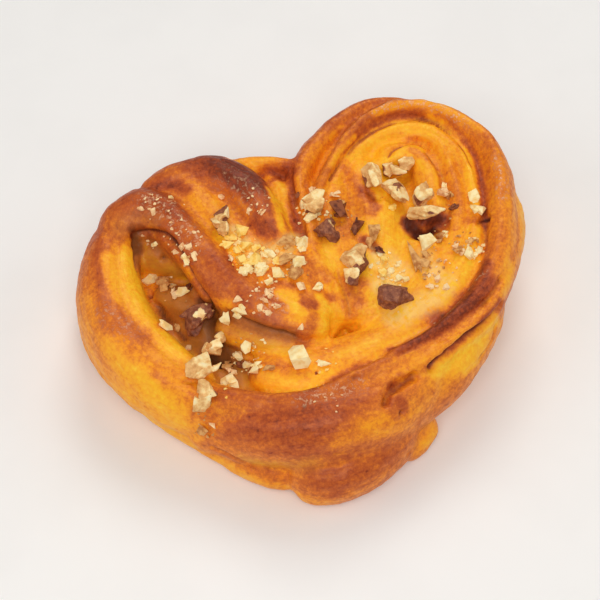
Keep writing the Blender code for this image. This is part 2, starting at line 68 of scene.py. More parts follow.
# Each fold is a roll of dough through stations: x, y, height of its crest, half width, half height, and how
# brown it baked, from 0 for butter to 1 for mahogany, on its crest, its left and right flank, or all over.
FOLDS = {
    "right_bed": (
        (33, 30, 33.5, 15, 9, 0.2), (36, 12, 32.5, 17, 9, 0.2), (26, -6, 31, 17, 9, 0.2),
        (12, -18, 28, 12, 8, 0.2),
    ),
    "left_bed": (
        (-22, 28, 33, 10, 9, 0.3), (-12, 12, 33, 13, 9, 0.3), (0, -6, 31, 11, 9, 0.2),
        (9, -14, 29, 8, 8, 0.2),
    ),
    "right_rim": (
        (7, 16.5, 35.5, 2.4, 7, 0.45, 0.5, 0.35), (10, 24, 37.6, 2.6, 8, 0.48, 0.55, 0.4),
        (14.6, 31, 39, 2.8, 8, 0.56, 0.66, 0.46), (19.2, 36.6, 40, 3, 9, 0.6, 0.7, 0.52),
        (25, 41.8, 40.8, 3.1, 9, 0.62, 0.74, 0.62), (34.5, 45.2, 41.2, 3.2, 9, 0.62, 0.7, 0.72),
        (43.7, 43.1, 41.2, 3.4, 9, 0.6, 0.5, 0.7), (50.6, 37.6, 41.2, 3.7, 9, 0.58, 0.45, 0.66),
        (56, 30.6, 41, 4.1, 9, 0.55, 0.42, 0.62), (57.5, 20, 40.6, 4.5, 9, 0.5, 0.45, 0.58),
        (55.8, 10, 39.6, 4.8, 9, 0.48, 0.45, 0.56), (53.6, 0, 38.4, 4.9, 9, 0.55, 0.5, 0.6),
        (50, -8.4, 37, 4.9, 8.5, 0.78, 0.72, 0.78), (44.5, -15.6, 35.8, 4.4, 8, 0.88, 0.84, 0.86),
        (36.4, -21.7, 34.4, 3.6, 8, 0.9, 0.86, 0.88), (26.5, -26.3, 33, 2.8, 7.5, 0.84, 0.8, 0.78),
        (17, -29, 31.8, 2.2, 7, 0.66, 0.6, 0.6),
    ),
    "right_outer": (
        (4.5, 13, 34, 2.4, 8, 0.45, 0.35, 0.45), (4.6, 24.5, 35.5, 3.6, 8, 0.45, 0.35, 0.45),
        (7, 34, 36.5, 4.6, 9, 0.45, 0.5, 0.45), (13.7, 41, 37.8, 5, 12, 0.52, 0.66, 0.44),
        (21.4, 46.2, 38.6, 5, 14, 0.6, 0.7, 0.44), (30.6, 49, 38.8, 4.6, 15.5, 0.6, 0.55, 0.5),
        (41, 46.4, 38.4, 4.2, 15.5, 0.55, 0.5, 0.5), (48.4, 41.6, 37, 4.2, 15, 0.5, 0.45, 0.5),
        (54.2, 34.6, 34, 4, 13, 0.45), (57.4, 26, 31.5, 3.6, 10.5, 0.4),
    ),
    "plate_outer": (
        (11, 22, 35, 4, 5, 0.25, 0.3, 0.25), (18, 34, 36.5, 4.5, 5, 0.14, 0.2, 0.12),
        (27.5, 39.5, 37, 4.4, 5, 0.14, 0.24, 0.16), (37, 40, 37.2, 4.2, 5, 0.14, 0.26, 0.18),
        (44.5, 36.5, 37.2, 3.8, 5, 0.12, 0.26, 0.2), (49.3, 28, 37, 3.3, 5, 0.12, 0.3, 0.25),
        (50, 16, 36.4, 3.2, 5, 0.15, 0.35, 0.3), (48, 5, 35.4, 3.8, 5, 0.22, 0.4, 0.3),
        (40, -9, 33.2, 5.5, 5, 0.15, 0.25, 0.2), (27, -19, 30.6, 6, 5, 0.2, 0.26, 0.22),
    ),
    "plate_inner": (
        (35, 37.5, 36.2, 2.4, 5, 0.2), (41, 37, 36.8, 2.6, 5, 0.22, 0.2, 0.25),
        (44.8, 31.5, 37, 2.8, 5, 0.3, 0.3, 0.35), (45.5, 22, 36.8, 3, 5, 0.4, 0.4, 0.45),
        (45, 12, 36, 3.6, 5, 0.4, 0.44, 0.42), (41, 1, 34.2, 5, 5, 0.3), (32, -9, 32, 6, 5, 0.25),
        (18, -18, 29.8, 6, 5, 0.28, 0.28, 0.26),
    ),
    "swirl_core": (
        (26, 31, 35.6, 5, 5, 0.16), (33, 32.5, 36.3, 4.4, 5, 0.16, 0.2, 0.16),
        (38.5, 29, 36.3, 4.4, 5, 0.2, 0.3, 0.2), (39, 20, 36, 4.8, 5, 0.25, 0.35, 0.25),
        (36, 8, 34.6, 7, 6, 0.28, 0.3, 0.25), (28, -5, 32.6, 9, 6, 0.22, 0.26, 0.2),
        (18, -14, 30.6, 8, 6, 0.26, 0.3, 0.26),
    ),
    "fan_right": (
        (21, 36, 34.2, 6, 6, 0.14), (21.5, 29, 35.4, 8, 6, 0.14, 0.14, 0.16),
        (23, 18, 35.4, 8.5, 6, 0.18, 0.16, 0.3), (21, 5, 34.2, 9, 6, 0.14, 0.16, 0.3),
        (17, -7, 32.4, 8.5, 6, 0.18, 0.2, 0.22), (13, -16, 30, 6.5, 5, 0.26, 0.28, 0.24),
    ),
    "fan_middle": (
        (14.5, 28, 34.8, 5, 6, 0.2), (12.5, 18, 35.6, 6.5, 6, 0.4, 0.36, 0.3),
        (11, 5, 34.6, 7.5, 6, 0.33, 0.3, 0.3), (11, -7, 32.4, 7, 6, 0.3), (12, -15, 29.8, 6, 6, 0.25),
    ),
    "fan_left": (
        (6.5, 20, 35.6, 2.8, 6, 0.42, 0.3, 0.36), (5, 13, 35.6, 3.6, 6, 0.46, 0.34, 0.4),
        (4.4, 4, 35, 4.2, 6, 0.4, 0.3, 0.36), (7, -5, 33.2, 4.5, 6, 0.28, 0.25, 0.25),
    ),
    "left_hood": (
        (-47, 16, 31, 5, 8, 0.5, 0.3, 0.4), (-46, 21, 34.6, 5.8, 9, 0.6, 0.45, 0.5),
        (-43, 25, 36.6, 7, 9.5, 0.74, 0.72, 0.56), (-37.5, 26.5, 38, 7.5, 9.5, 0.82, 0.86, 0.58),
        (-31.5, 21.5, 38.8, 6.5, 9, 0.8, 0.62, 0.64), (-27, 12, 38.7, 6, 8, 0.66, 0.45, 0.62),
    ),
    "left_ridge": (
        (-41.5, 30.3, 36.5, 5.5, 9, 0.86, 0.8, 0.6), (-34, 24.5, 38.4, 6, 9, 0.82, 0.56, 0.64),
        (-26.5, 12.5, 38.6, 6, 8, 0.64, 0.44, 0.64), (-21.5, 2, 37.8, 6.3, 8, 0.6, 0.44, 0.64),
        (-15.5, -5.5, 36.2, 6.6, 7, 0.55, 0.45, 0.62), (-8, -11.5, 34.6, 6.6, 6, 0.42, 0.35, 0.58),
        (0, -14.5, 33, 6.4, 5.5, 0.25, 0.24, 0.4), (5.5, -14.8, 31.6, 5.5, 4.5, 0.15, 0.15, 0.25),
    ),
    "left_valley": (
        (-35, 34, 35.5, 5, 8, 0.55, 0.6, 0.5), (-25, 30, 36.2, 7, 8, 0.4, 0.44, 0.4),
        (-18, 17, 36.4, 8.5, 8, 0.36, 0.5, 0.36), (-10, 3, 36, 9, 8, 0.4),
        (0, -8, 34, 8, 7, 0.26, 0.26, 0.3), (7, -13, 31.6, 6, 5, 0.15, 0.15, 0.2),
    ),
    "dark_ridge": (
        (-38, 31.5, 34, 4, 9, 0.6, 0.6, 0.55), (-29, 34.3, 37.6, 6, 11, 0.72, 0.7, 0.58),
        (-18.5, 34, 39.6, 7.5, 12.5, 0.9, 0.86, 0.62), (-10.5, 27.5, 40.2, 7.3, 11, 1, 0.6, 0.74),
        (-6.8, 17, 39, 6.5, 9, 0.84, 0.2, 0.72), (-3.5, 5, 36.8, 6.5, 8, 0.42, 0.14, 0.46),
        (4, -6, 33.4, 6, 6, 0.25, 0.15, 0.25),
    ),
    "back_strip": (
        (-17, 35, 34, 5, 14, 0.5, 0.35, 0.6), (-9.5, 36.8, 35.2, 4.4, 15.5, 0.3, 0.4, 0.4),
        (-2, 35.8, 35.4, 4, 15.5, 0.3, 0.4, 0.6), (4.7, 34.3, 35, 3.6, 15, 0.4, 0.4, 0.6),
        (11, 34.5, 33, 4, 14, 0.4),
    ),
    "cleft_column": (
        (-4, 34, 31, 4, 9, 0.75, 0.7, 0.8), (-0.5, 27, 33, 4.2, 9, 0.2, 0.3, 0.16),
        (0.5, 15, 34, 3.8, 9, 0.14, 0.3, 0.12), (1, 3, 34, 4, 8, 0.15, 0.2, 0.15),
    ),
    "left_wall": (
        (-43, 26, 34, 7, 11, 0.62, 0.45, 0.55), (-48.5, 18, 34, 7, 12, 0.55, 0.3, 0.56),
        (-51, 7, 33.4, 8, 12, 0.55, 0.3, 0.52), (-49.6, -6, 32.2, 8, 12, 0.6, 0.3, 0.48),
        (-42, -18.5, 30, 8, 12, 0.54, 0.34, 0.35), (-32, -27.3, 27.5, 7, 11, 0.4, 0.34, 0.22),
        (-23, -34, 25, 6, 9, 0.36, 0.4, 0.2),
    ),
    "left_slope": (
        (-44.5, 20, 32.6, 5.5, 8, 0.28, 0.3, 0.4), (-46, 9, 32, 5.6, 8, 0.16, 0.12, 0.4),
        (-44.5, -3, 31, 6, 8, 0.14, 0.1, 0.4), (-39.5, -13.5, 29.6, 6, 8, 0.2, 0.12, 0.4),
        (-33, -21.5, 28.2, 6, 8, 0.26, 0.2, 0.3), (-27, -27, 26.8, 6, 8, 0.28, 0.24, 0.3),
    ),
    "pocket_dome": (
        (-41, 19, 26.5, 4.5, 6, 0.45), (-36.5, 17, 28.8, 5, 7, 0.36, 0.4, 0.4), (-31, 14.5, 28.4, 5, 7, 0.4),
        (-27, 11, 26, 4, 6, 0.5),
    ),
    "pocket_roll": (
        (-38, 8, 24.5, 4, 5, 0.5), (-34, 4, 24.8, 4.6, 5, 0.55), (-30, 1, 26, 5.2, 6, 0.6),
        (-26, -3, 25, 5, 5, 0.6), (-24, -12, 22, 5, 4, 0.6),
    ),
    "under_tongue": (
        (-23, -6.5, 27.5, 4.5, 5, 0.4), (-16, -12.4, 29.2, 5.4, 5, 0.34, 0.36, 0.3),
        (-8, -16.6, 29.8, 5.4, 5, 0.3, 0.3, 0.25), (3, -19, 29.6, 5.4, 5, 0.22, 0.24, 0.2),
    ),
    "front_strip": (
        (-17, -21, 26, 5, 5, 0.3, 0.35, 0.3), (-6, -26, 28.2, 8, 5, 0.18, 0.2, 0.14),
        (8, -26, 29, 8.5, 5, 0.18, 0.2, 0.2), (21, -21, 29.8, 7.5, 5, 0.2, 0.3, 0.24),
        (34, -12, 31, 6, 5, 0.15, 0.25, 0.25),
    ),
    "apron_lip": (
        (-31, -27, 26.5, 4.5, 7, 0.36), (-23, -32, 28, 5, 7, 0.5, 0.34, 0.55),
        (-12, -36, 29.8, 4.2, 7, 0.55, 0.4, 0.62), (-2, -36.5, 31, 3.6, 7, 0.62, 0.4, 0.66),
        (8, -33.5, 31.6, 3.2, 7, 0.64, 0.4, 0.6), (18, -30.2, 31.8, 2.8, 7, 0.56, 0.4, 0.5),
        (27, -27, 32, 2.6, 7, 0.46, 0.42, 0.45),
    ),
    "apron": (
        (-34.5, -30, 16, 3, 5, 0.6, 0.6, 0.4), (-29, -33.5, 20, 4.5, 7.5, 0.7, 0.66, 0.46),
        (-21.5, -37.3, 24.8, 6, 9.5, 0.76, 0.7, 0.5), (-12, -40, 28.8, 8, 11, 0.78, 0.7, 0.56),
        (2, -40.5, 30.3, 9.5, 12, 0.74, 0.66, 0.66), (18, -36, 29, 9, 11.5, 0.5, 0.5, 0.58),
        (32, -26.5, 28.8, 6.5, 10, 0.4, 0.4, 0.5), (44, -14, 29.5, 6, 9, 0.4, 0.4, 0.45),
    ),
    "right_under_rim": (
        (12, -35.5, 29.5, 5, 8, 0.45, 0.45, 0.5), (20.5, -32.8, 31, 4.4, 7, 0.42, 0.44, 0.46),
        (27.5, -30.6, 31.6, 3.4, 6, 0.4, 0.46, 0.5), (35.5, -26.8, 32.4, 2.6, 6, 0.36, 0.5, 0.56),
        (43.5, -21.9, 33.2, 2.6, 6, 0.36, 0.56, 0.62), (49.8, -15, 34, 2.6, 6, 0.34, 0.56, 0.6),
        (54.6, -5.5, 34.4, 3.2, 7, 0.28, 0.4, 0.4), (58.4, 6, 34, 4.4, 9, 0.22, 0.4, 0.25),
        (59.6, 18, 32, 4.2, 9, 0.24, 0.4, 0.3), (58.4, 29.4, 31, 4, 9, 0.4),
    ),
    "right_flank": (
        (13, -42, 19, 6, 8, 0.55, 0.55, 0.5), (22.6, -37.2, 22.5, 5, 8, 0.3, 0.3, 0.5),
        (32.4, -32.3, 24.8, 4.6, 8, 0.14, 0.2, 0.5), (40.8, -25, 26.4, 4.2, 8, 0.08, 0.12, 0.45),
        (46.8, -17.2, 27, 4.2, 8, 0.1, 0.12, 0.45), (50.4, -6.2, 26, 4.6, 9, 0.14, 0.14, 0.35),
        (53.2, 4.5, 24, 4.6, 9, 0.2, 0.2, 0.35),
    ),
    "base_roll": (
        (-12, 35.5, 21, 5, 9, 0.45), (-26, 36.5, 21, 6, 9, 0.45), (-39.5, 31, 21, 6, 9, 0.45),
        (-48.3, 25.2, 20.5, 6, 9, 0.45, 0.45, 0.42), (-52.4, 18, 20, 6, 9, 0.44, 0.45, 0.4),
        (-53.3, 4, 20, 6, 9, 0.4, 0.44, 0.36), (-47.6, -10.4, 19, 6, 9, 0.34, 0.36, 0.3),
        (-36.1, -23.2, 16, 6, 8, 0.22, 0.24, 0.26), (-25.2, -33, 12.5, 6, 6.5, 0.28, 0.3, 0.26),
        (-15.4, -41.1, 11.5, 6.5, 6, 0.36, 0.4, 0.3), (-6.4, -44.2, 11.5, 6.5, 6, 0.4, 0.42, 0.34),
    ),
    "point_roll": (
        (-10.5, -45.1, 16.5, 6, 8.5, 0.42, 0.5, 0.32), (-3.1, -48.6, 17, 6.8, 9, 0.55, 0.6, 0.4),
        (5, -48.2, 17.5, 6.8, 9, 0.6, 0.62, 0.5), (14, -43.4, 19, 6.8, 10, 0.58, 0.6, 0.55),
        (22.8, -36.8, 20, 6, 10, 0.5),
    ),
    "base_tab": (
        (28.8, -33.2, 10.5, 5, 5.5, 0.4), (23.8, -39, 10, 5, 5.5, 0.45, 0.4, 0.4),
        (17.4, -43, 9.5, 5, 5, 0.5, 0.45, 0.4),
    ),
}


class Layer(Enum):
    """What a stroke of the brush changes on the crust."""

    BROWNING = "browning"
    # dull ochre: partly the paler dough where it is sheltered, partly painted shade there
    SHADED_OCHRE = "shaded_ochre"
    # pale dots: partly dried sugar, partly painted glints
    SUGAR_GLINT = "sugar_glint"
    # painted shade in creases, holes, hollows and the pocket
    SHADE = "shade"
    MEAL = "meal"


# Soft strokes of the brush over the crust, in the order in which they are laid: the value that each pulls its
# layer towards, how far it pulls in its middle, how far from its route it has faded out, and the points
# (x, y, z) of its route.
BROWNING_STROKES = (
    # open swirl of the right lobe: an orange streak, butter faces, an orange inner band
    (0.55, 0.9, 4.2, (19.5, 24, 35.5), (18, 18, 34.5), (15.5, 12.5, 34), (14, 8, 34.5)),
    (0.14, 0.9, 5, (26, 12.5, 34.5), (27, 6.5, 33.5), (26, 0.5, 32.5)),
    (0.12, 0.9, 3.6, (8, 3, 34), (8.5, -1.5, 33.5), (8.5, -5.5, 32.5)),
    (0.42, 0.8, 3.4, (11, -7.5, 32.5), (10, -11.5, 31)),
    (0.5, 0.8, 3.4, (46, 27, 37), (45.5, 20, 36.5), (44, 12.5, 35.5), (41, 5.5, 34.5)),
    (0.16, 0.7, 1.8, (48, 23.5, 36), (47.5, 17, 35.5)),
    (0.3, 0.8, 4, (45.5, 2, 35), (46, -1, 34.5)),
    (0.13, 0.9, 4, (45, -6, 33.5), (40.5, -11, 33), (36.5, -14, 32)),
    (0.44, 0.8, 3.6, (34.5, 25, 33), (34, 20, 33)),
    (0.27, 0.8, 5, (16, -18, 29), (23, -19, 30), (31, -16.5, 31.5)),
    (0.38, 0.8, 4, (14.5, -21.5, 29), (21, -21.5, 29.5), (28, -20, 30)),
    # rim
    (0.68, 0.7, 4, (53, 30.5, 40), (55, 23, 40.5)),
    (0.76, 0.8, 5, (52.5, -3, 37.5), (50, -9, 37), (45, -15.5, 36)),
    (0.66, 0.6, 3, (27, 40.5, 39), (35.5, 42.5, 38.5), (43.5, 41, 38.5)),
    (0.48, 0.6, 4.5, (55.5, 8, 39.5), (54, 0, 38.5)),
    # tongue
    (0.1, 0.9, 4.2, (-5.5, -8, 34), (-3.5, -12, 34)),
    (0.1, 0.9, 4.2, (4, -11.5, 32), (7, -13.5, 29.5), (4, -17.5, 30.5)),
    (0.32, 0.8, 3.5, (-5.5, -15, 33), (-2, -18, 31.5)),
    (0.66, 0.9, 2.6, (0.5, -12, 33), (0, -12.5, 33)),
    (0.74, 0.9, 2.4, (6, -9, 32), (7, -10, 31)),
    (0.72, 0.8, 3.2, (-10, -13.5, 34), (-8, -14.5, 34)),
    (0.66, 0.8, 2.8, (14, -11, 31), (13.5, -12, 31)),
    (0.7, 0.8, 2.4, (12, -8.5, 32), (11.5, -9.5, 32)),
    (0.6, 0.8, 4, (-16.5, -7, 36), (-11.5, -10.5, 35)),
    # front
    (0.13, 0.8, 3, (-13, -19, 28), (-6, -21, 28.5)),
    (0.46, 0.8, 3.2, (-14, -21.5, 26), (-10.5, -24, 27.5)),
    (0.15, 0.8, 4, (-10.5, -28.5, 27), (-5.5, -32, 27), (1, -31, 28)),
    (0.6, 0.7, 4, (-24.5, -33, 27.5), (-17.5, -36, 28.5)),
    (0.8, 0.8, 6.5, (-7, -39, 29.5), (-4.5, -43, 29), (-9.5, -47, 24)),
    (0.3, 0.85, 4.5, (-21.5, -43.5, 13.5), (-14.5, -46.5, 14), (-6, -49.5, 18)),
    (0.7, 0.8, 3.2, (15, -42, 28), (18.5, -43, 26)),
    (0.1, 0.9, 3.4, (47.5, -20.5, 24.5), (42, -25.5, 25.5), (35, -30, 26), (29, -34, 27)),
    (0.24, 0.9, 3.6, (57, -2.5, 34.5), (53.5, -10.5, 33), (50.5, -15.5, 31.5)),
    # left lobe
    (0.62, 0.8, 5.5, (-51.5, -3, 32.5), (-48, -8.5, 31.5), (-43, -13, 30)),
    (0.22, 0.7, 3, (-49.5, -16.5, 29), (-43, -26, 25)),
    (0.36, 0.7, 5, (-51, -13.5, 29.5), (-42.5, -18, 29), (-34.5, -24.5, 27)),
    (0.36, 0.8, 5, (-30.5, 32, 37), (-24.5, 28, 36), (-20.5, 21.5, 36.5)),
    (0.68, 0.8, 3.5, (-33, 36, 35.5), (-27, 35, 38.5)),
    (0.7, 0.9, 4.5, (-7.5, 18, 39), (-6.5, 12, 38)),
    (0.38, 0.8, 1.8, (-6.5, 29, 36), (-4, 29.5, 33), (-2, 28.5, 33)),
    (0.12, 0.9, 4.5, (-43.5, 12.5, 31.5), (-43.5, 5, 30.5), (-40.5, -1, 29), (-37.5, -10.5, 28.5),
     (-34, -17, 28)),
    (0.6, 0.7, 6, (-27.5, 4, 36), (-25, -2.5, 34), (-21, -6.5, 34.5)),
    (0.5, 0.8, 5, (-44, 20, 34.5), (-36.5, 20, 35.5)),
    # left lobe, finer passes
    # painted shadow under the hood's lip, on the pocket's upper wall
    (0.9, 0.9, 2.4, (-41.5, 20, 33), (-41, 19, 28.5), (-40.5, 17, 27)),
    (0.6, 0.6, 6, (-46, 23.5, 35.5), (-50.5, 17.5, 33), (-53.5, 9, 32), (-55.5, 1, 30)),
    (0.2, 0.85, 6, (-57, -4, 26.5), (-56, -9.5, 22.5), (-53, -16.5, 19), (-48.5, -23, 16),
     (-42.5, -25, 8), (-35.5, -31, 6)),
    (0.36, 0.8, 3.6, (-13.5, 21, 36), (-11.5, 16.5, 36.5), (-11, 13, 36)),
    (0.3, 0.8, 3.6, (-38, 14, 26), (-34, 11.5, 25), (-29, 5, 30.5)),
    # painted shade under the tongue's overhang
    (0.72, 0.85, 3.6, (-23.5, -3.5, 26.5), (-18, -10.5, 29.5), (-12.5, -14.5, 30), (-6.5, -18, 29.5)),
    (0.38, 0.8, 3, (-10, -25.5, 27.5), (-7, -28, 27.5)),
    (0.5, 0.6, 3.6, (-15, 2.5, 35), (-10, -0.5, 35.5), (-4, 0.5, 35)),
    (0.86, 0.9, 3.2, (-36, 30.5, 35.5), (-31, 31.5, 35.5), (-26, 28.5, 35.5)),
    (0.76, 0.85, 3.4, (-50.5, 21.5, 31.5), (-51, 12.5, 33), (-50, 6, 32.5), (-49, 1, 32)),
    (0.34, 0.8, 4.5, (-56, 1.5, 29.5), (-56, -4, 29), (-54.5, -9.5, 27.5)),
    (0.2, 0.85, 6, (-53, -13.5, 27), (-50, -18.5, 26), (-45.5, -23.5, 25), (-41, -28.5, 23),
     (-36.5, -31.5, 21)),
    # painted shadow under the hood's lip, on the pocket's upper wall
    (0.85, 0.9, 2.6, (-40.5, 19.5, 29), (-41.5, 17, 27.5), (-41.5, 13, 27), (-41, 11, 25)),
    (0.3, 0.8, 3.6, (-39, 13, 24), (-34.5, 11, 23.5), (-29.5, 9.5, 21.5)),
    (0.3, 0.8, 3, (-21.5, -7.5, 32), (-18, -8.5, 34)),
    (0.55, 0.8, 3, (-22.5, 33.5, 36), (-18.5, 30, 36), (-15.5, 25.5, 35.5), (-13, 19.5, 35.5),
     (-11, 15, 36)),
    (0.12, 0.9, 2.2, (-4, 23.5, 36.5), (-3.5, 16.5, 37), (-3, 10, 37)),
    (0.88, 0.9, 4.5, (-3.5, 32.5, 31.5), (0.5, 32.5, 31), (3, 32, 33)),
    # brown edge of the right lobe at the cleft, darker still as painted shade in the cleft
    (0.85, 0.9, 2.8, (3.5, 31, 34.5), (3, 27.5, 32.5), (1.5, 20.5, 32.5), (1.5, 13.5, 33),
     (2.5, 8.5, 33.5)),
    # painted shadow beside the crumbs at the inner edge of the left slope
    (0.7, 0.8, 2.2, (-38, -9, 28), (-34.5, -6, 20.5), (-32, -8, 20)),
    (0.62, 0.7, 3, (-23, 5.5, 37.5), (-18.5, 2, 36.5), (-16, -2.5, 36)),
    (0.7, 0.8, 2.6, (-7, -5.5, 34), (-3, -6.5, 34)),
    (0.74, 0.7, 5, (-47, 27.5, 34), (-50, 25, 31), (-53, 18, 31.5)),
    (0.45, 0.7, 6, (-57, 2, 28.5), (-56.5, -5, 27.5), (-55, -11, 25), (-52, -17, 22.5)),
    (0.14, 0.8, 3.4, (-49, 11.5, 33), (-48.5, 6, 32.5), (-47.5, 0, 31.5)),
    (0.1, 0.8, 3.6, (-45.5, -21.5, 27.5), (-43, -24.5, 26.5), (-40.5, -27.5, 24.5)),
    (0.42, 0.7, 3.6, (-33.5, -27, 27), (-33.5, -31, 25), (-32.5, -34, 21)),
    (0.4, 0.8, 2.2, (-27, 23, 35.5), (-24, 18, 35.5), (-21, 11.5, 35.5), (-19, 6, 36)),
    (0.78, 0.75, 4.6, (-23.5, 4, 37.5), (-20.5, -1, 37), (-17, -6.5, 35.5), (-15.5, -10, 34.5)),
    (0.62, 0.7, 3.6, (-36.5, 19.5, 35), (-32.5, 15, 34), (-29, 8, 36), (-26, 3, 36)),
    # painted shade along the pocket's top edge, under the hood's lip
    (0.9, 0.8, 2.2, (-39, 20, 33), (-36.5, 17.5, 29), (-34, 14, 27)),
    (0.3, 0.8, 2.4, (-38.5, 12.5, 21), (-37.5, 6, 23), (-36, 1.5, 22.5)),
    (0.22, 0.8, 2.6, (-12, 36.5, 35.5), (-7.5, 34, 34), (-3.5, 32, 31.5)),
    (0.1, 0.9, 2.2, (-2.5, 21.5, 35), (-2, 17, 35.5)),
    (0.8, 0.8, 3, (-13, -14, 32.5), (-8, -17, 32), (-3.5, -19.5, 30)),
    (0.66, 0.7, 3, (-1, -8.5, 34), (1, -12.5, 32.5), (-0.5, -18, 31.5), (-2.5, -20.5, 28.5)),
    (0.74, 0.7, 6, (-47.5, 27.5, 33.5), (-42, 26.5, 37), (-36, 23, 37.5), (-31.5, 18, 37.5)),
    (0.74, 0.75, 4.6, (-31, 14.5, 37), (-28.5, 8.5, 36.5), (-25.5, 2, 35.5), (-23, -4, 34)),
    (0.86, 0.8, 2.6, (-10, 13.5, 36.5), (-8, 11, 37), (-5.5, 9.5, 37.5)),
    (0.8, 0.8, 2, (-18.5, 6.5, 35.5), (-18, 3, 36), (-18, 0, 36.5)),
    (0.15, 0.8, 3, (-19, 12.5, 35.5), (-17, 8, 35.5), (-15, 2.5, 35)),
    (0.68, 0.7, 3.2, (-18, -5, 36), (-14, -7, 35.5), (-11, -9, 35)),
    (0.82, 0.7, 2.4, (-10, -7.5, 34.5), (-8.5, -9.5, 34), (-6.5, -11.5, 34)),
    (0.12, 0.8, 3, (-6, -8, 34), (-4, -10.5, 33.5), (-2, -14.5, 33.5)),
    (0.76, 0.8, 2.2, (-1, -11.5, 33), (1.5, -12, 32.5)),
    (0.66, 0.7, 4, (-28, 5.5, 35.5), (-25, 0, 35), (-21, -5, 35)),
    (0.6, 0.8, 3, (-26, -21, 21.5), (-23, -24.5, 20.5)),
    (0.86, 0.8, 3.6, (-37, 24, 37.5), (-32, 22, 38.5), (-28, 19.5, 37.5)),
    # right lobe, finer passes
    (0.62, 0.9, 3, (1.5, 2, 34.5), (2.5, -2.5, 34), (3, -7, 32.5)),
    (0.5, 0.8, 2.6, (10.5, -8.5, 31), (10, -14, 28)),
    # painted shadow beside the dark skin crumb
    (0.8, 0.9, 2.6, (18, 5.5, 33.5), (19.5, 4, 33.5), (20.5, 2, 33.5)),
    (0.5, 0.9, 2, (36.5, 31, 36), (40, 27.5, 36), (42, 23.5, 34), (42, 19.5, 34)),
    (0.34, 0.8, 3, (44, 39.5, 36), (46.5, 34.5, 36.5), (48, 28.5, 36.5), (48, 23, 35.5)),
    (0.46, 0.7, 4, (46, 41, 40.5), (51.5, 37.5, 41), (55.5, 31.5, 41), (57.5, 23.5, 40.5)),
    (0.46, 0.7, 3.4, (54.5, 17, 37.5), (52.5, 7.5, 38), (50.5, 0, 36)),
    (0.66, 0.8, 2.4, (59.5, 8, 35.5), (58, 1, 34), (54.5, -7.5, 34)),
    # painted shade in the cavity under the long walnut piece
    (0.95, 1, 4.2, (35, 8.5, 34), (39, 9, 33)),
    (0.3, 0.9, 2.6, (28.5, 42.5, 40.5), (35.5, 44, 40), (42.5, 43, 40.5), (48.5, 39, 41),
     (54, 32, 40.5)),
    (0.8, 0.9, 1.9, (18.5, 33.5, 37.5), (22, 37, 37.5), (26.5, 40, 37.5), (32.5, 42.5, 37.5),
     (39, 42.5, 37), (44.5, 39.5, 36.5)),
    (0.74, 0.8, 2.8, (5, 33.5, 35), (7.5, 38.5, 35.5), (12.5, 42.5, 35.5), (18, 46, 37)),
    (0.38, 0.8, 1.4, (10.5, 34.5, 34.5), (14.5, 39, 35.5), (19.5, 42.5, 36.5)),
    (0.14, 0.8, 1.6, (14, 28.5, 38), (17.5, 33, 38), (21.5, 36.5, 38)),
    (0.88, 0.95, 1.8, (47, 37, 36.5), (51, 32, 36), (53, 26.5, 35), (52.5, 19, 35), (51.5, 11.5, 35),
     (50, 4, 33.5)),
    (0.42, 0.85, 2.4, (30.5, 32.5, 35), (34.5, 34.5, 35), (38.5, 35.5, 34), (41, 29.5, 34.5),
     (42.5, 25, 34.5), (42.5, 20.5, 34)),
    (0.42, 0.8, 2.6, (47, 24, 35.5), (46.5, 15.5, 36), (45.5, 9, 35)),
    (0.52, 0.85, 3.6, (17.5, 29, 34.5), (18, 23.5, 34), (17.5, 18, 33.5)),
    # painted shadow below the walnut piece
    (0.75, 0.9, 2.6, (21, 20.5, 34.5), (22, 18, 34.5), (23, 14.5, 35)),
    (0.6, 0.8, 3, (18.5, 15, 34), (21.5, 13, 34.5)),
    # painted shadow under the crumbs
    (0.62, 0.8, 2.2, (46, 6, 34.5), (50.5, 5.5, 33.5)),
    (0.84, 0.95, 5.4, (47, -9.5, 36), (43.5, -14.5, 35), (39.5, -17.5, 33.5)),
    (0.94, 0.95, 5, (39.5, -18.5, 34), (35.5, -21, 33.5), (32, -21, 30)),
    (0.94, 0.95, 4, (32, -24, 33.5), (27, -25.5, 32.5), (22, -27, 31.5)),
    (0.46, 0.6, 3, (52, 4.5, 37), (51, -2, 37), (49, -6.5, 36)),
    (0.66, 0.8, 3, (12, -5.5, 32.5), (15, -7.5, 31.5)),
    (0.2, 0.8, 2.4, (43.5, 40.5, 37.5), (46.5, 37.5, 36.5), (49, 33, 36)),
    (0.3, 0.8, 2, (45.5, 30, 36.5), (45.5, 24.5, 36.5)),
    (0.36, 0.8, 4, (58.5, 8, 37.5), (57.5, 1.5, 36), (53.5, -6.5, 36), (50, -12, 35)),
    (0.55, 0.7, 3, (5.5, -3, 33), (9, -5, 31.5), (13, -5, 32)),
    (0.5, 0.7, 3, (9.5, -11, 30.5), (11.5, -14, 28.5)),
    (0.16, 0.8, 3, (7, -12, 29.5), (7, -15, 25.5)),
    (0.42, 0.7, 3.4, (51, 34, 38.5), (53.5, 29, 37), (54.5, 22, 37)),
    (0.38, 0.75, 3, (16.5, 22, 34), (17.5, 18.5, 34), (17.5, 14.5, 33.5)),
    (0.35, 0.75, 2.6, (34, 28.5, 33), (36, 25.5, 34.5), (37.5, 21.5, 35.5)),
    (0.78, 0.6, 5, (-25, -31, 27.5), (-18.5, -35, 28.5), (-12, -39.5, 28.5), (-7.5, -43, 29)),
    # front, finer passes
    (0.28, 0.8, 3.6, (3, -28.5, 28), (8.5, -27, 28.5), (15, -26.5, 29)),
    (0.45, 0.7, 3.6, (-12.5, -23.5, 27), (-8.5, -26.5, 27.5), (-4, -29, 28)),
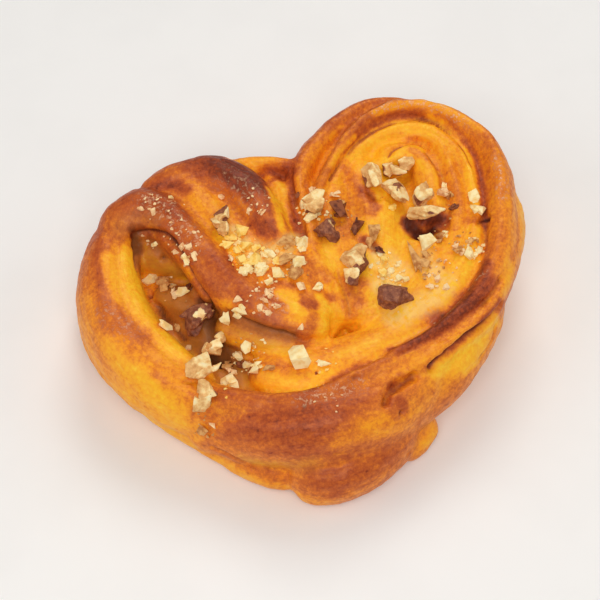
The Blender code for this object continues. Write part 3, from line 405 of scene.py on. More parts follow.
    (0.6, 0.7, 7, (-8.5, -50, 14), (-1, -53.5, 14), (8.5, -51, 15.5), (17, -46.5, 16.5)),
    (0.56, 0.7, 4.5, (36.5, -33.5, 21.5), (32, -37, 19.5), (28.5, -39.5, 16)),
    (0.44, 0.8, 4.2, (1.5, -24, 28), (6.5, -22, 27.5), (12, -21, 28.5)),
    (0.86, 0.9, 1.8, (16, -27, 28.5), (19, -26.5, 29), (22.5, -27, 31.5)),
    (0.42, 0.9, 2.2, (49.5, -16, 33.5), (44, -21, 33), (38.5, -24.5, 32), (33, -27, 31),
     (26.5, -29.5, 31), (20, -31.5, 30.5)),
    # painted shade in the gap between the golden strand and the yellow flank
    (0.86, 0.9, 1.6, (48.5, -19, 32), (43.5, -23.5, 31.5), (39.5, -24.5, 29), (34, -28.5, 28.5)),
    (0.1, 0.9, 3.6, (47, -22, 27.5), (42.5, -25.5, 27), (37, -29, 26), (31, -33, 26)),
    (0.5, 0.8, 2, (48, -22, 23), (44, -26.5, 22.5), (38.5, -31.5, 23)),
    (0.16, 0.85, 3.2, (41, -6, 33.5), (35.5, -10, 32), (29.5, -14, 31), (24, -16.5, 30)),
    (0.24, 0.8, 4, (22.5, -20.5, 29.5), (17, -22.5, 29), (10.5, -23.5, 28.5)),
    (0.74, 0.85, 2.2, (-6, -37, 30), (-0.5, -34, 28.5), (6.5, -30.5, 28), (12, -29, 28.5)),
    (0.46, 0.85, 6.5, (3, -48.5, 24), (8.5, -46, 26), (15.5, -45, 25), (21, -43.5, 21.5)),
    (0.42, 0.8, 4.5, (21, -42.5, 23.5), (25.5, -40, 22.5), (28.5, -37.5, 23)),
    (0.58, 0.85, 3.6, (-30, -37.5, 15), (-27, -40, 13), (-22, -42.5, 10), (-16.5, -46, 9.5),
     (-11, -49, 9.5)),
    (0.76, 0.8, 4.2, (-14.5, -46.5, 22), (-9.5, -48.5, 21), (-4.5, -49, 21.5)),
    (0.68, 0.8, 4.2, (-7, -53.5, 10.5), (-0.5, -55, 11)),
    (0.56, 0.8, 3.4, (-32.5, -33, 22.5), (-27.5, -34.5, 24), (-21.5, -36, 26.5)),
    (0.8, 0.8, 2.2, (16.5, -37, 27.5), (17.5, -36.5, 28)),
    (0.8, 0.8, 2.4, (18.5, -41.5, 26.5), (19, -42.5, 25.5)),
    (0.62, 0.7, 3, (-22, -33, 28), (-16, -36, 28.5), (-9, -38, 29.5)),
    (0.3, 0.8, 3, (28, -39.5, 8), (25, -43, 7)),
    (0.26, 0.8, 3, (5, -28.5, 28), (10, -27, 28.5), (16, -26.5, 28.5)),
    (0.1, 0.8, 2.6, (45, -25, 23), (41.5, -28.5, 22.5), (37.5, -32, 22.5)),
    (0.36, 0.7, 4, (8, -47, 25), (13, -46.5, 23.5), (18.5, -45, 20.5)),
    (0.74, 0.75, 6, (-4.5, -52.5, 14.5), (2, -54, 13.5), (8.5, -52, 14.5), (13, -50, 15)),
    (0.66, 0.7, 3, (15.5, -40.5, 27.5), (17, -43.5, 26)),
)
# Dull ochre where the dough is sheltered: partly its paler baking, partly painted shade.
SHADED_OCHRE_STROKES = (
    (0.5, 0.8, 4.5, (-21.5, -43.5, 13.5), (-14.5, -46.5, 14), (-6, -49.5, 18)),
    (0.5, 0.8, 5, (-44, 20, 34.5), (-36.5, 20, 35.5)),
    (0.75, 1, 8, (-38, 20, 25), (-35, 12, 26), (-33, 6, 24)),
    (1, 1, 9, (-33, 2, 22), (-29, -6, 22), (-24, -14, 20), (-22, -22, 19)),
    (0.6, 0.9, 4.5, (-22, -9.5, 27), (-15, -15, 28), (-7, -18.5, 29)),
    (0.7, 0.9, 3.6, (-23.5, -3.5, 26.5), (-18, -10.5, 29.5), (-12.5, -14.5, 30), (-6.5, -18, 29.5)),
    (0.8, 0.9, 2.6, (-40.5, 19.5, 29), (-41.5, 17, 27.5), (-41.5, 13, 27), (-41, 11, 25)),
)
# Pale dots, partly dried sugar, partly painted glints: those along the dark strand and the rim's crest are
# glints.
SUGAR_GLINT_STROKES = (
    (0.9, 1, 0.9, (46.5, -11.5, 35.5), (40, -15.5, 32.5), (35.5, -20, 33), (30, -21, 28.5),
     (23.5, -24.5, 29)),
    (1, 1, 2.8, (25.5, 43, 40.5), (35.5, 44.5, 40.5), (43.5, 43, 40.5), (51, 35, 40.5)),
    (1, 1, 2.8, (57, 21, 40.5), (57, 15, 40), (55.5, 9, 39.5)),
    (0.8, 1, 5.5, (-36, 26, 38.5), (-31, 20.5, 38.5), (-28.5, 14.5, 38.5), (-27, 8, 38)),
    (0.5, 1, 6, (-14, 28, 38), (-8, 20, 38)),
    (0.8, 1, 4, (-11.5, -11.5, 35), (-9, -9, 35), (-7, -12, 34.5)),
    (0.8, 1, 3.6, (-6.5, -37.5, 30.5), (1, -37.5, 30.5), (9, -36, 30)),
    (0.5, 1, 5, (-52, -4, 32.5), (-46, -10.5, 31)),
)
# Painted shade and shadow: the pocket's recesses, under the hood's lip and the tongue, and beside and under
# the walnuts.
SHADE_STROKES = (
    (0.7, 1, 4, (-26, -4, 24), (-25, -9, 22)),
    (0.9, 1, 4, (-25, -15.5, 20), (-22, -18.5, 20)),
    (0.6, 1, 4.5, (-21.5, -16, 22), (-18, -20, 22), (-16, -24, 24)),
    (0.7, 1, 2.2, (-41.5, 19.5, 32.5), (-41, 19, 28), (-40.5, 16, 27.5)),
    (0.8, 1, 2.6, (-23.5, -11.5, 23.5), (-22.5, -14, 20.5), (-21.5, -16.5, 19.5)),
    (0.85, 1, 2.6, (-26.5, -1, 26), (-25, -4, 24), (-24.5, -7.5, 23.5)),
    (0.5, 1, 2, (18, 5.5, 33.5), (19.5, 4, 33.5), (20.5, 2, 33.5)),
    (0.95, 1, 3.8, (31, 10, 32.5), (32, 7.5, 32), (33.5, 6, 30.5)),
    (0.72, 1, 3.6, (35, 8.5, 34), (39, 9, 33.5)),
)
MEAL_STROKES = (
    (0.9, 1, 5.5, (21.5, -1, 33), (24, -5, 32), (21, -8.5, 32)),
    (0.6, 1, 5, (22, -17.5, 29.5), (31, -15, 31), (36, -11, 32)),
    (0.7, 1, 4, (33, -3, 33), (34, -8, 32)),
    (0.9, 1, 4, (-15, 11.5, 36), (-13, 7.5, 35.5), (-9, 4.5, 35.5)),
    (0.8, 1, 4, (-9.5, 3, 36), (-4.5, 4, 36), (0.5, 7.5, 34.5)),
)
STROKES = {
    Layer.BROWNING: BROWNING_STROKES,
    Layer.SHADED_OCHRE: SHADED_OCHRE_STROKES,
    Layer.SUGAR_GLINT: SUGAR_GLINT_STROKES,
    Layer.SHADE: SHADE_STROKES,
    Layer.MEAL: MEAL_STROKES,
}

# Lines where two layers of dough meet, pressed into the skin: how far each reaches to its sides, how deep it
# is, how much shade is painted at its bottom, from 0 to 1, and the points of its route. One point makes a
# hole.
CREASES = (
    # right lobe, from the outside inwards
    (1.4, 0.9, 0.55, (31, 45.6, 40), (25.5, 43, 39), (21, 40, 38), (16.5, 37.5, 36.5), (13, 35, 35.5),
     (6, 25, 35.5)),
    (1.4, 0.9, 0.6, (12.5, 25, 35.5), (18, 31, 36), (23.5, 36.5, 36.5), (31, 40.5, 37), (38, 41.5, 37),
     (43.5, 39.5, 36.5), (48, 34, 37), (50.5, 28, 36.5), (51.5, 21, 36.5), (51.5, 13.5, 36), (50.5, 6.5, 35),
     (49, -1, 34)),
    (1.3, 1, 0.6, (29.5, 30.5, 35.5), (31.5, 32.5, 36), (35, 34, 36), (39.5, 34.5, 35.5)),
    (1.4, 1, 0.65, (40.5, 30.5, 35.5), (42, 25.5, 35.5), (42.5, 21.5, 35), (42, 18, 35)),
    (1, 0.8, 0.6, (25.5, 18, 35), (28.5, 16, 34.5), (31, 14.5, 34)),
    (1.6, 1, 0.45, (9.5, -3.5, 33), (10, -9, 32), (10.5, -12.5, 30.5), (10.5, -15.5, 28.5)),
    (1.6, 1, 0.5, (3.5, 31, 33), (2.5, 26, 33), (2, 20, 33.5), (2.5, 15, 34), (2.8, 8.5, 34.5)),
    # lower right, between the strands of the rim
    (2, 2.2, 0.9, (49, -18.5, 30), (44, -23.5, 30), (39.5, -26.5, 30), (33.5, -30.5, 29.5),
     (28, -33.5, 28.5)),
    (1.2, 1, 0.55, (50, -13.5, 34), (45, -19, 33.5), (37.5, -24, 33), (32, -26.5, 32.5), (26.5, -28.5, 32),
     (20, -30, 31.5)),
    (1.2, 1, 0.5, (46.5, -5.5, 34.5), (42, -11.5, 34), (37, -16.5, 33), (32, -20, 32.5), (25.5, -24, 31.5),
     (18.5, -27, 31)),
    (2, 2.2, 0.6, (14.5, -41.5, 28), (15.5, -39, 29), (17.5, -37.5, 28.5), (20, -36.5, 28.5),
     (23, -35.5, 28.5)),
    (1.2, 0.7, 0.5, (47.5, -21, 24.5), (45.5, -24.5, 21.5), (40.5, -29.5, 21.5), (34.5, -32.5, 22)),
    # tongue and front
    (1.5, 1.3, 0.8, (-21, -9.5, 30.5), (-17.5, -12, 30.5), (-12.5, -15.5, 30.5), (-7.5, -18, 30.5),
     (-5, -19.5, 30)),
    (1.3, 1, 0.5, (-4, -20, 29.5), (-2.5, -20.8, 29.3), (0, -20.5, 29.3)),
    (1.2, 0.8, 0.4, (-13.5, -31.5, 27.5), (-10, -33.5, 28.5), (-5, -34.5, 29.5), (1, -33.5, 29.5),
     (8, -31, 29), (16, -28, 29.5)),
    (1.4, 0.9, 0.6, (-29.5, -38.5, 13.5), (-27, -40.5, 14), (-24, -42.5, 12.5), (-20, -44, 9.5)),
    (1.2, 0.9, 0.5, (-34.5, -26.5, 28), (-30, -26, 27), (-25.5, -23, 25)),
    (1.2, 0.8, 0.4, (28.5, -39, 9), (24, -43.5, 9), (20, -47.5, 10)),
    # left lobe
    (1.2, 0.8, 0.45, (-14.5, 34.5, 38.5), (-11, 31, 38.5), (-8, 27, 37.5), (-5.5, 22.5, 36.5), (-4, 18, 36)),
    # pocket, round the roll in it
    (1.6, 1.3, 0.75, (-40.5, 19, 30.5), (-41.5, 17, 28.5), (-41.5, 12, 28.5), (-41, 8.5, 26.5),
     (-39, 6.5, 21), (-37, 1, 21), (-36, -3, 20.5)),
    (1.8, 1.5, 0.9, (-41, 19, 31), (-38, 19, 31.5), (-34.5, 16, 34.5), (-31.5, 12.5, 35), (-30, 8, 34.5)),
    (1.6, 1.2, 0.85, (-30, 8, 34.5), (-28.5, 4, 32.5), (-26.5, 0, 31), (-24.5, -4, 29.5), (-24, -4.5, 24.5)),
    (1.4, 1, 0.7, (-35.5, -1.5, 20.5), (-33.5, -5, 20.5), (-32, -8.5, 20.5)),
    # holes
    (1, 0.8, 0.8, (-41, -4.5, 30)),
    (0.9, 0.8, 0.8, (-2, 23, 33.5)),
    (2.2, 1.8, 1, (8, -34.8, 31)),
    (1.2, 1, 0.9, (-1, -29.5, 28)),
    (1.2, 0.8, 0.6, (45.5, 28.5, 37)),
    (1.2, 1, 0.7, (10.5, -15, 28.8)),
    (1.5, 1.8, 0.95, (18.5, -43.5, 25)),
    (1.5, 1.4, 1, (-34.5, 13, 27.5)),
    (1.2, 0.9, 0.8, (-16, -45.5, 10.5)),
    (1.3, 0.8, 0.7, (-14.5, -35.8, 29.5), (-12.5, -36.5, 29.5)),
    # hollows beside and under the walnuts and crumbs, with their shadows painted dark
    (3.6, 3.4, 0.95, (31.5, 6, 34), (34, 4.5, 34), (38, 6.5, 34)),
    (1.8, 1, 0.7, (22, 20, 35.5), (22.8, 18, 35.5), (24.5, 17, 35.5)),
    (1.8, 1.4, 1, (48.8, 4.5, 35.5), (50.6, 5.5, 35)),
    (3, 2.6, 1, (-25.5, -14.5, 21), (-23, -17.5, 21)),
)

# Stretches where folds ran together in the oven, so that the skin passes smoothly over both: how far each
# reaches, and the points of its route.
MELTS = (
    (6, (-47, 17, 34), (-49.5, 8, 33), (-48, -3, 32), (-43, -13, 31), (-36, -22, 29), (-28, -29, 27)),
    (6, (-48, 17, 33), (-46.5, 21, 35), (-42, 22, 36)),
    (6, (-27, 27, 37), (-23, 20, 37), (-18, 10, 37), (-13, 0, 36), (-6, -7, 35)),
    (5, (-31, 17, 38.5), (-27.5, 12, 38.5), (-24, 5, 38.5)),
    (6, (12, 12, 35), (12, 0, 34), (12, -10, 32), (16, -18, 30), (26, -16, 31)),
    (5, (22, 24, 35.5), (27, 28, 36), (29, 20, 35.5), (30, 8, 34), (26, -4, 33)),
    (5, (-20, -38, 28), (-10, -39, 29.5), (2, -38.5, 30.5), (14, -34, 30.5), (26, -29, 31)),
    (6, (-40, 35, 14), (-28, 40, 13), (-14, 41, 13), (-4, 40, 13), (6, 40, 13)),
    (7, (10, 44, 13), (20, 50, 13), (31, 53.5, 13), (44, 50, 13), (54, 40, 13), (60, 28, 13),
     (61.5, 14, 13)),
    (7, (-20, 41, 24), (-12, 41, 24), (-4, 40, 24), (4, 39, 24), (10, 42, 24)),
    (6, (-12, 41, 31), (-13, 41, 20)),
    (6, (48, 46, 30), (54, 40, 28), (59, 31, 26)),
    (6, (-28, -38, 16), (-18, -43, 18), (-8, -48, 18), (2, -50, 18), (12, -47, 19)),
)


class Crumb(Enum):
    """The kinds of small piece on the crust."""

    CREAM = "cream"
    TOASTED = "toasted"
    BUTTER = "butter"
    PALE = "pale"
    SKIN = "skin"


# Crumbs large enough to have a place of their own: (x, y, length along x, width along y).
CRUMBS = {
    Crumb.CREAM: (
        (-30.3, 25.2, 1.6, 1.7), (-35.9, 16.8, 2.4, 1.3), (-28.6, 6, 2.1, 3.8), (-38.3, 11.5, 6, 2.6),
        (-30.8, 2.6, 4.3, 2.5), (-33.2, 8.2, 3, 1.1), (-37.2, -8.7, 4.6, 3), (-20.2, -9.4, 3.9, 3.8),
        (-17.6, -10.6, 4.5, 3.6), (-14.2, -0.1, 3.7, 3.6), (-10.1, -0.9, 3.7, 3.6), (-6.1, -2.2, 3.1, 3.5),
        (-8, 3.5, 3.6, 3.4), (1, 6.4, 4, 4.3), (-0.4, -0.3, 3.8, 4.7), (3.4, -6.6, 2.7, 3.4),
        (-19.2, -16.5, 2.7, 3.1), (-16.6, -17.3, 2.9, 3.1), (-17, -20, 3.6, 2.7), (-15.4, -24.1, 4, 3),
        (-22.9, -24.9, 4.7, 5.3), (-4.3, -24.8, 5.2, 7.2), (1.1, -27.3, 3.7, 2.1), (4.6, 19, 2.7, 3.4),
        (5.1, 13.6, 3.7, 3.1), (7.4, 15.2, 2, 2.5), (42.5, 18, 1.7, 4), (49.2, 12.6, 3.1, 3.8),
        (49.1, 8.3, 4.4, 3.4), (34, 1.4, 4.5, 4.7), (43.9, -4.1, 2.9, 3.4), (46.4, -3.7, 2.1, 3.8),
        (23.2, -4.4, 2, 2), (24.7, -7.3, 2.7, 2.2), (26.4, -8.2, 2, 1.8), (-14, -0.5, 3.8, 3.2),
        (-10.5, -0.5, 3.4, 3), (-15, 8, 2.6, 2.2), (-12, 3.5, 2.8, 2.2), (-9, -4.5, 2.6, 2.4),
        (1, 4.5, 2.8, 2.4), (39.5, 3.5, 2.4, 2),
    ),
    Crumb.BUTTER: (
        (-11.2, 2.2, 3.4, 3.8), (-14.8, 3.1, 3.1, 3.1), (-17.6, 8.6, 4.7, 2.9), (-13.5, 11.3, 3.8, 3.8),
        (-12.6, 6.7, 3.6, 2.9), (-10.4, 5.4, 2.7, 2.2), (-15.4, 6.2, 2.5, 2.5), (22, -1.6, 2.7, 2.5),
        (20.6, -5.4, 2.5, 2.7), (27.4, 14.2, 2.7, 2), (-16.5, 10, 3.2, 2.6), (-14.5, 6.5, 3, 2.6),
        (-18, 8, 2.6, 2.2), (-13.5, 2, 3, 2.4), (-8.5, 5, 2.4, 2.2), (-6, 1, 2.8, 2.4),
    ),
    Crumb.TOASTED: (
        (-35.3, 6.4, 3.8, 5.6), (-33.7, -4.6, 1.8, 2.1), (-2.6, 5.6, 5.2, 3.4), (-3.2, 1.6, 5.2, 2.9),
        (-2.1, -3.7, 3.8, 4.3), (-12.4, -25.5, 3.6, 1.8), (-22, -19.2, 3.4, 3.4), (13.7, 17, 2.9, 2.9),
        (32.9, -1.6, 3.1, 2.9), (31.9, -4.4, 3.6, 2.7), (29.6, -2.2, 3.1, 10.8), (38, 2.9, 3.4, 2.7),
        (41.7, -2.7, 2.7, 2.7), (45.1, -0.8, 2.2, 2), (20.4, 5.6, 3.8, 7.2), (-31, -35.6, 3.4, 2.9),
        (43.4, 14.6, 2.2, 2.2),
    ),
    Crumb.PALE: (
        (-35.1, 21.4, 2, 1.8), (-17.5, -8.5, 2.4, 2), (-10.5, -13.5, 2.2, 1.8), (-3, -18, 2, 1.8),
        (32, -11, 2.2, 1.8), (34.5, -9, 2, 1.6), (36, -12.5, 2, 1.6), (41, -1, 2.2, 1.8),
        (42.5, -3.5, 2, 1.8), (-38.4, 23.4, 1.7, 1.6), (-29.4, 9.5, 1.8, 1.8), (-27.6, 8.4, 1.8, 1.8),
        (-31, 10, 1.8, 1.5), (-26.4, 5.4, 1.7, 2.8), (-32.8, 3.4, 2.2, 4.5), (-12.3, -11.9, 1.8, 2),
        (-9.4, -8.8, 2, 2.1), (-10.9, -10.4, 1.8, 1.7), (-8.2, -12, 1.8, 1.7), (-10.1, -8, 1.6, 1.8),
        (-1.1, -7.2, 2.5, 2.9), (-17.9, 3.5, 1.8, 2.1), (-21.7, -21.2, 2.9, 2.7), (-16.8, 25.2, 2, 2),
        (-10.4, 17, 1.6, 2.1), (-7.4, 15.4, 2.1, 1.8), (13, 19.6, 2.9, 2.7), (7.8, 22.4, 2.2, 2.2),
        (41.2, 15.6, 3.6, 3.1), (-32, -37, 2, 2), (-28.6, -36, 1.7, 1.8), (-31.6, -11.8, 2, 1.6),
    ),
    Crumb.SKIN: (
        (12.6, 14.4, 5.2, 5.6), (17.4, 9.6, 3.4, 6.3), (21.2, 1.2, 2.2, 2.9), (-18.8, -19.4, 2.7, 2.7),
        (43.4, 10.8, 2.9, 2), (-28.6, 3.6, 2.9, 2.2), (3.4, 22.4, 2, 1.3),
    ),
}

# Where finer crumbs fell: (x, y, radius of the patch, how many, smallest, largest, kind).
SPRINKLES = (
    (-33, 21, 7, 26, 0.5, 1.1, Crumb.PALE),
    (-28.5, 11, 5, 20, 0.5, 1.2, Crumb.PALE),
    (-11, -9, 5, 22, 0.5, 1.2, Crumb.PALE),
    (-12, 4, 6, 22, 0.6, 1.5, Crumb.BUTTER),
    (-6, 0, 5, 18, 0.6, 1.4, Crumb.CREAM),
    (-2, 0, 5, 14, 0.6, 1.4, Crumb.TOASTED),
    (6, 17, 5, 16, 0.6, 1.3, Crumb.CREAM),
    (12, 12, 5, 12, 0.5, 1.2, Crumb.TOASTED),
    (22, -4, 5, 28, 0.6, 1.7, Crumb.CREAM),
    (33, -4, 5, 24, 0.6, 1.5, Crumb.TOASTED),
    (36, -8, 4.5, 20, 0.5, 1.2, Crumb.PALE),
    (43, 0, 4, 16, 0.6, 1.4, Crumb.TOASTED),
    (45, -3, 4, 12, 0.6, 1.4, Crumb.CREAM),
    (38, 12, 6, 12, 0.5, 1.2, Crumb.TOASTED),
    (-18, -19, 4.5, 22, 0.6, 1.5, Crumb.TOASTED),
    (-17, -20, 5, 18, 0.6, 1.4, Crumb.CREAM),
    (-31, 5, 6, 14, 0.6, 1.3, Crumb.TOASTED),
    (-25, -29, 5, 12, 0.5, 1.1, Crumb.BUTTER),
    (-31, -36, 3, 10, 0.6, 1.4, Crumb.TOASTED),
    (1, -26, 4, 8, 0.5, 1.1, Crumb.BUTTER),
    (24, -13, 6, 10, 0.5, 1.1, Crumb.CREAM),
    (1, -37, 6, 12, 0.4, 0.8, Crumb.PALE),
    (-8, 19, 4, 12, 0.5, 1.1, Crumb.PALE),
)


# ---------- Sums on curves and meshes ----------


ROUTE_STEPS = 14


def spline_point(stations: tuple | list, span: int, share: float) -> list[float]:
    """Finds a point on a Catmull-Rom spline.

    Args:
        stations: The points that the spline passes through.
        span: Which span of the spline.
        share: How far along the span, from 0 to 1.

    Returns:
        The values there, as many as a station has.
    """
    count = len(stations)
    p0 = stations[max(span - 1, 0)]
    p1 = stations[span]
    p2 = stations[min(span + 1, count - 1)]
    p3 = stations[min(span + 2, count - 1)]
    values = []
    for a, b, c, d in zip(p0, p1, p2, p3):
        curve = (3 * b - a - 3 * c + d) * share + 2 * a - 5 * b + 4 * c - d
        values.append(0.5 * (2 * b + (c - a + curve * share) * share))
    return values


def spline(stations: tuple | list, steps: int) -> list[list[float]]:
    """Samples an open spline.

    Args:
        stations: The points that the spline passes through.
        steps: Samples for each span.

    Returns:
        The samples, with the last station at the end.
    """
    spans = range(len(stations) - 1)
    path = [spline_point(stations, span, step / steps) for span in spans for step in range(steps)]
    path.append([float(value) for value in stations[-1]])
    return path


def smoothstep(low: float, high: float, value: np.ndarray) -> np.ndarray:
    """Rises smoothly from 0 at low to 1 at high."""
    t = np.clip((value - low) / (high - low), 0, 1)
    return t * t * (3 - 2 * t)


@dataclass(frozen=True)
class Waves:
    """Unevenness without a direction.

    Attributes:
        height: About how far it swings to each side of 0.
        width: The width of one of its lumps, in millimetres.
        seed: Moves it, so that two uses differ.
    """

    height: float
    width: float
    seed: float

    def at(self, points: np.ndarray) -> np.ndarray:
        """Its values at points in millimetres."""
        places = (points / self.width + self.seed).tolist()
        return self.height * np.array([noise.noise(place) for place in places], np.float32)


def near_route(points: np.ndarray, route: list, reach: float) -> tuple[np.ndarray, np.ndarray]:
    """Finds the points near a route.

    Args:
        points: The places to look at, in millimetres.
        route: The stations (x, y, z) that the route passes through.
        reach: How far from it counts as near.

    Returns:
        The numbers of the points within reach, and their distances from the route.
    """
    path = np.array(spline(route, ROUTE_STEPS), np.float32)
    low = path.min(0) - reach
    high = path.max(0) + reach
    inside = np.flatnonzero(((points > low) & (points < high)).all(1))
    away = np.full(len(inside), np.inf, np.float32)
    for spot in path:
        np.minimum(away, np.linalg.norm(points[inside] - spot, axis=1), out=away)
    kept = away < reach
    return inside[kept], away[kept]


def in_row_frame(x: float, y: float, z: float) -> Vector:
    """Moves a place from the tables' frame to the row frame, still in millimetres."""
    return Vector((x - MIDDLE[0], y - MIDDLE[1], z))


def stations_of(fold: str) -> tuple:
    """The stations of a fold, with a browning of its own for the crest and each flank."""
    return tuple(row if len(row) == 8 else (*row, row[-1], row[-1]) for row in FOLDS[fold])


def mesh_points(mesh: Mesh) -> np.ndarray:
    """The places of a mesh's vertices, in millimetres of the tables' frame."""
    flat = np.empty(len(mesh.vertices) * 3, np.float32)
    mesh.vertices.foreach_get("co", flat)
    return flat.reshape(-1, 3) / MM + np.array(MIDDLE, np.float32)


def mesh_normals(mesh: Mesh) -> np.ndarray:
    """The directions that a mesh's vertices face."""
    flat = np.empty(len(mesh.vertices) * 3, np.float32)
    mesh.vertices.foreach_get("normal", flat)
    return flat.reshape(-1, 3)


def put_points(mesh: Mesh, points: np.ndarray) -> None:
    """Moves a mesh's vertices to places in millimetres of the tables' frame."""
    moved = points.astype(np.float32) - np.array(MIDDLE, np.float32)
    mesh.vertices.foreach_set("co", (moved * MM).ravel())
    mesh.update()


def put_values(mesh: Mesh, name: str, values: np.ndarray) -> None:
    """Stores one value for each vertex of a mesh, for its material to read."""
    layer = mesh.attributes.new(name, "FLOAT", "POINT")
    layer.data.foreach_set("value", values.astype(np.float32))


def add_object(name: str, data: bpy.types.ID) -> Object:
    """Links a mesh, light or camera to the scene as an object."""
    made = bpy.data.objects.new(name, data)
    bpy.context.scene.collection.objects.link(made)
    return made


def finished(skin: Mesh, name: str, material: Material) -> Object:
    """Smooths, names and dresses a piece's mesh.

    Args:
        skin: The mesh.
        name: The piece's name.
        material: Its finish.

    Returns:
        The piece, in the scene.
    """
    for polygon in skin.polygons:
        polygon.use_smooth = True
    skin.name = name
    skin.materials.clear()
    skin.materials.append(material)
    return add_object(name, skin)


def evaluated(carrier: Object) -> Mesh:
    """Takes the mesh that an object's modifiers make.

    Args:
        carrier: The object. It is removed.

    Returns:
        The mesh.
    """
    graph = bpy.context.evaluated_depsgraph_get()
    made = bpy.data.meshes.new_from_object(carrier.evaluated_get(graph))
    before = carrier.data
    bpy.data.objects.remove(carrier)
    bpy.data.meshes.remove(before)
    return made


def remeshed(shell: BMesh, voxel: float, passes: int) -> Mesh:
    """Joins overlapping closed shapes into one skin.

    Args:
        shell: The shapes, in metres. It is freed.
        voxel: The size of the new skin's faces, in millimetres.
        passes: How many times the skin is smoothed.

    Returns:
        The new skin.
    """
    rough = bpy.data.meshes.new("rough")
    shell.to_mesh(rough)
    shell.free()
    carrier = add_object("carrier", rough)
    join = carrier.modifiers.new("join", "REMESH")
    join.mode = "VOXEL"
    join.voxel_size = voxel * MM
    if passes:
        smooth = carrier.modifiers.new("smooth", "SMOOTH")
        smooth.iterations = passes
    return evaluated(carrier)


def melted(skin: Mesh, passes: int, core: float = 0.35, least: float = 0.01, strength: float = 0.6) -> Mesh:
    """Smooths a skin where its folds ran together.

    Args:
        skin: The skin. It is removed.
        passes: How many times it is smoothed there.
        core: The share of a melt's reach that is smoothed in full.
        least: Spots with a smaller weight than this are left alone.
        strength: How far one pass moves a spot towards its neighbours.

    Returns:
        The smoothed skin.
    """
    points = mesh_points(skin)
    weights = np.zeros(len(points), np.float32)
    for radius, *route in MELTS:
        near, away = near_route(points, route, radius)
        weights[near] = np.maximum(weights[near], 1 - smoothstep(core, 1.0, away / radius))
    carrier = add_object("carrier", skin)
    group = carrier.vertex_groups.new(name="melt")
    for index in np.flatnonzero(weights > least).tolist():
        group.add((index,), float(weights[index]), "REPLACE")
    smooth = carrier.modifiers.new("melt", "SMOOTH")
    smooth.vertex_group = group.name
    smooth.iterations = passes
    smooth.factor = strength
    return evaluated(carrier)


# ---------- Finishes ----------


def linear(colour: str) -> tuple[float, float, float, float]:
    """Turns an sRGB hex value into a linear colour with full alpha."""
    channels = [int(colour[at : at + 2], 16) / 255 for at in (1, 3, 5)]
    light = [c / 12.92 if c <= 0.04045 else ((c + 0.055) / 1.055) ** 2.4 for c in channels]
    return light[0], light[1], light[2], 1.0


def add_node(tree: NodeTree, kind: str, settings: dict | None = None, **links) -> Node:
    """Adds a node with its settings and links.

    Args:
        tree: The material's node tree.
        kind: The node's type name, without "ShaderNode".
        settings: Properties of the node by name, and values of its inputs by "in:" and their name or number.
        **links: Output sockets to link to the inputs of those names, with _ for a space.

    Returns:
        The new node.
    """
    node = tree.nodes.new("ShaderNode" + kind)
    for key, value in (settings or {}).items():
        if key.startswith("in:"):
            name = key[3:]
            node.inputs[int(name) if name.isdigit() else name].default_value = value
        else:
            setattr(node, key, value)
    for name, socket in links.items():
        number = name.strip("_")
        node_input = node.inputs[int(number)] if number.isdigit() else node.inputs[name.replace("_", " ")]
        tree.links.new(socket, node_input)
    return node


Stops = tuple[tuple[float, str], ...]


def fill_ramp(node: Node, stops: Stops) -> None:
    """Gives a colour ramp its stops.

    Args:
        node: The ramp's node.
        stops: Each stop's place and sRGB hex value.
    """
    ramp = node.color_ramp
    for place, colour in stops[2:]:
        ramp.elements.new(place).color = linear(colour)
    for element, (place, colour) in zip(ramp.elements, sorted(stops)):
        element.position = place
        element.color = linear(colour)


def span(low: float, high: float, bottom: float = 0.0, top: float = 1.0) -> dict[str, float]:
    """Settings of a Map Range node that turns low to high into bottom to top."""
    return {"in:1": low, "in:2": high, "in:3": bottom, "in:4": top}


def new_material(name: str, surface: dict) -> tuple[Material, NodeTree, Node]:
    """Starts a material.

    Args:
        name: Its name.
        surface: Values of its shader's inputs by name.

    Returns:
        The material, its node tree and its shader.
    """
    material = bpy.data.materials.new(name)
    material.use_nodes = True
    shader = material.node_tree.nodes["Principled BSDF"]
    for socket, value in surface.items():
        shader.inputs[socket].default_value = value
    return material, material.node_tree, shader


# The stretch that most of a noise's values fall in.
NOISE_LOW = 0.3
NOISE_HIGH = 0.7


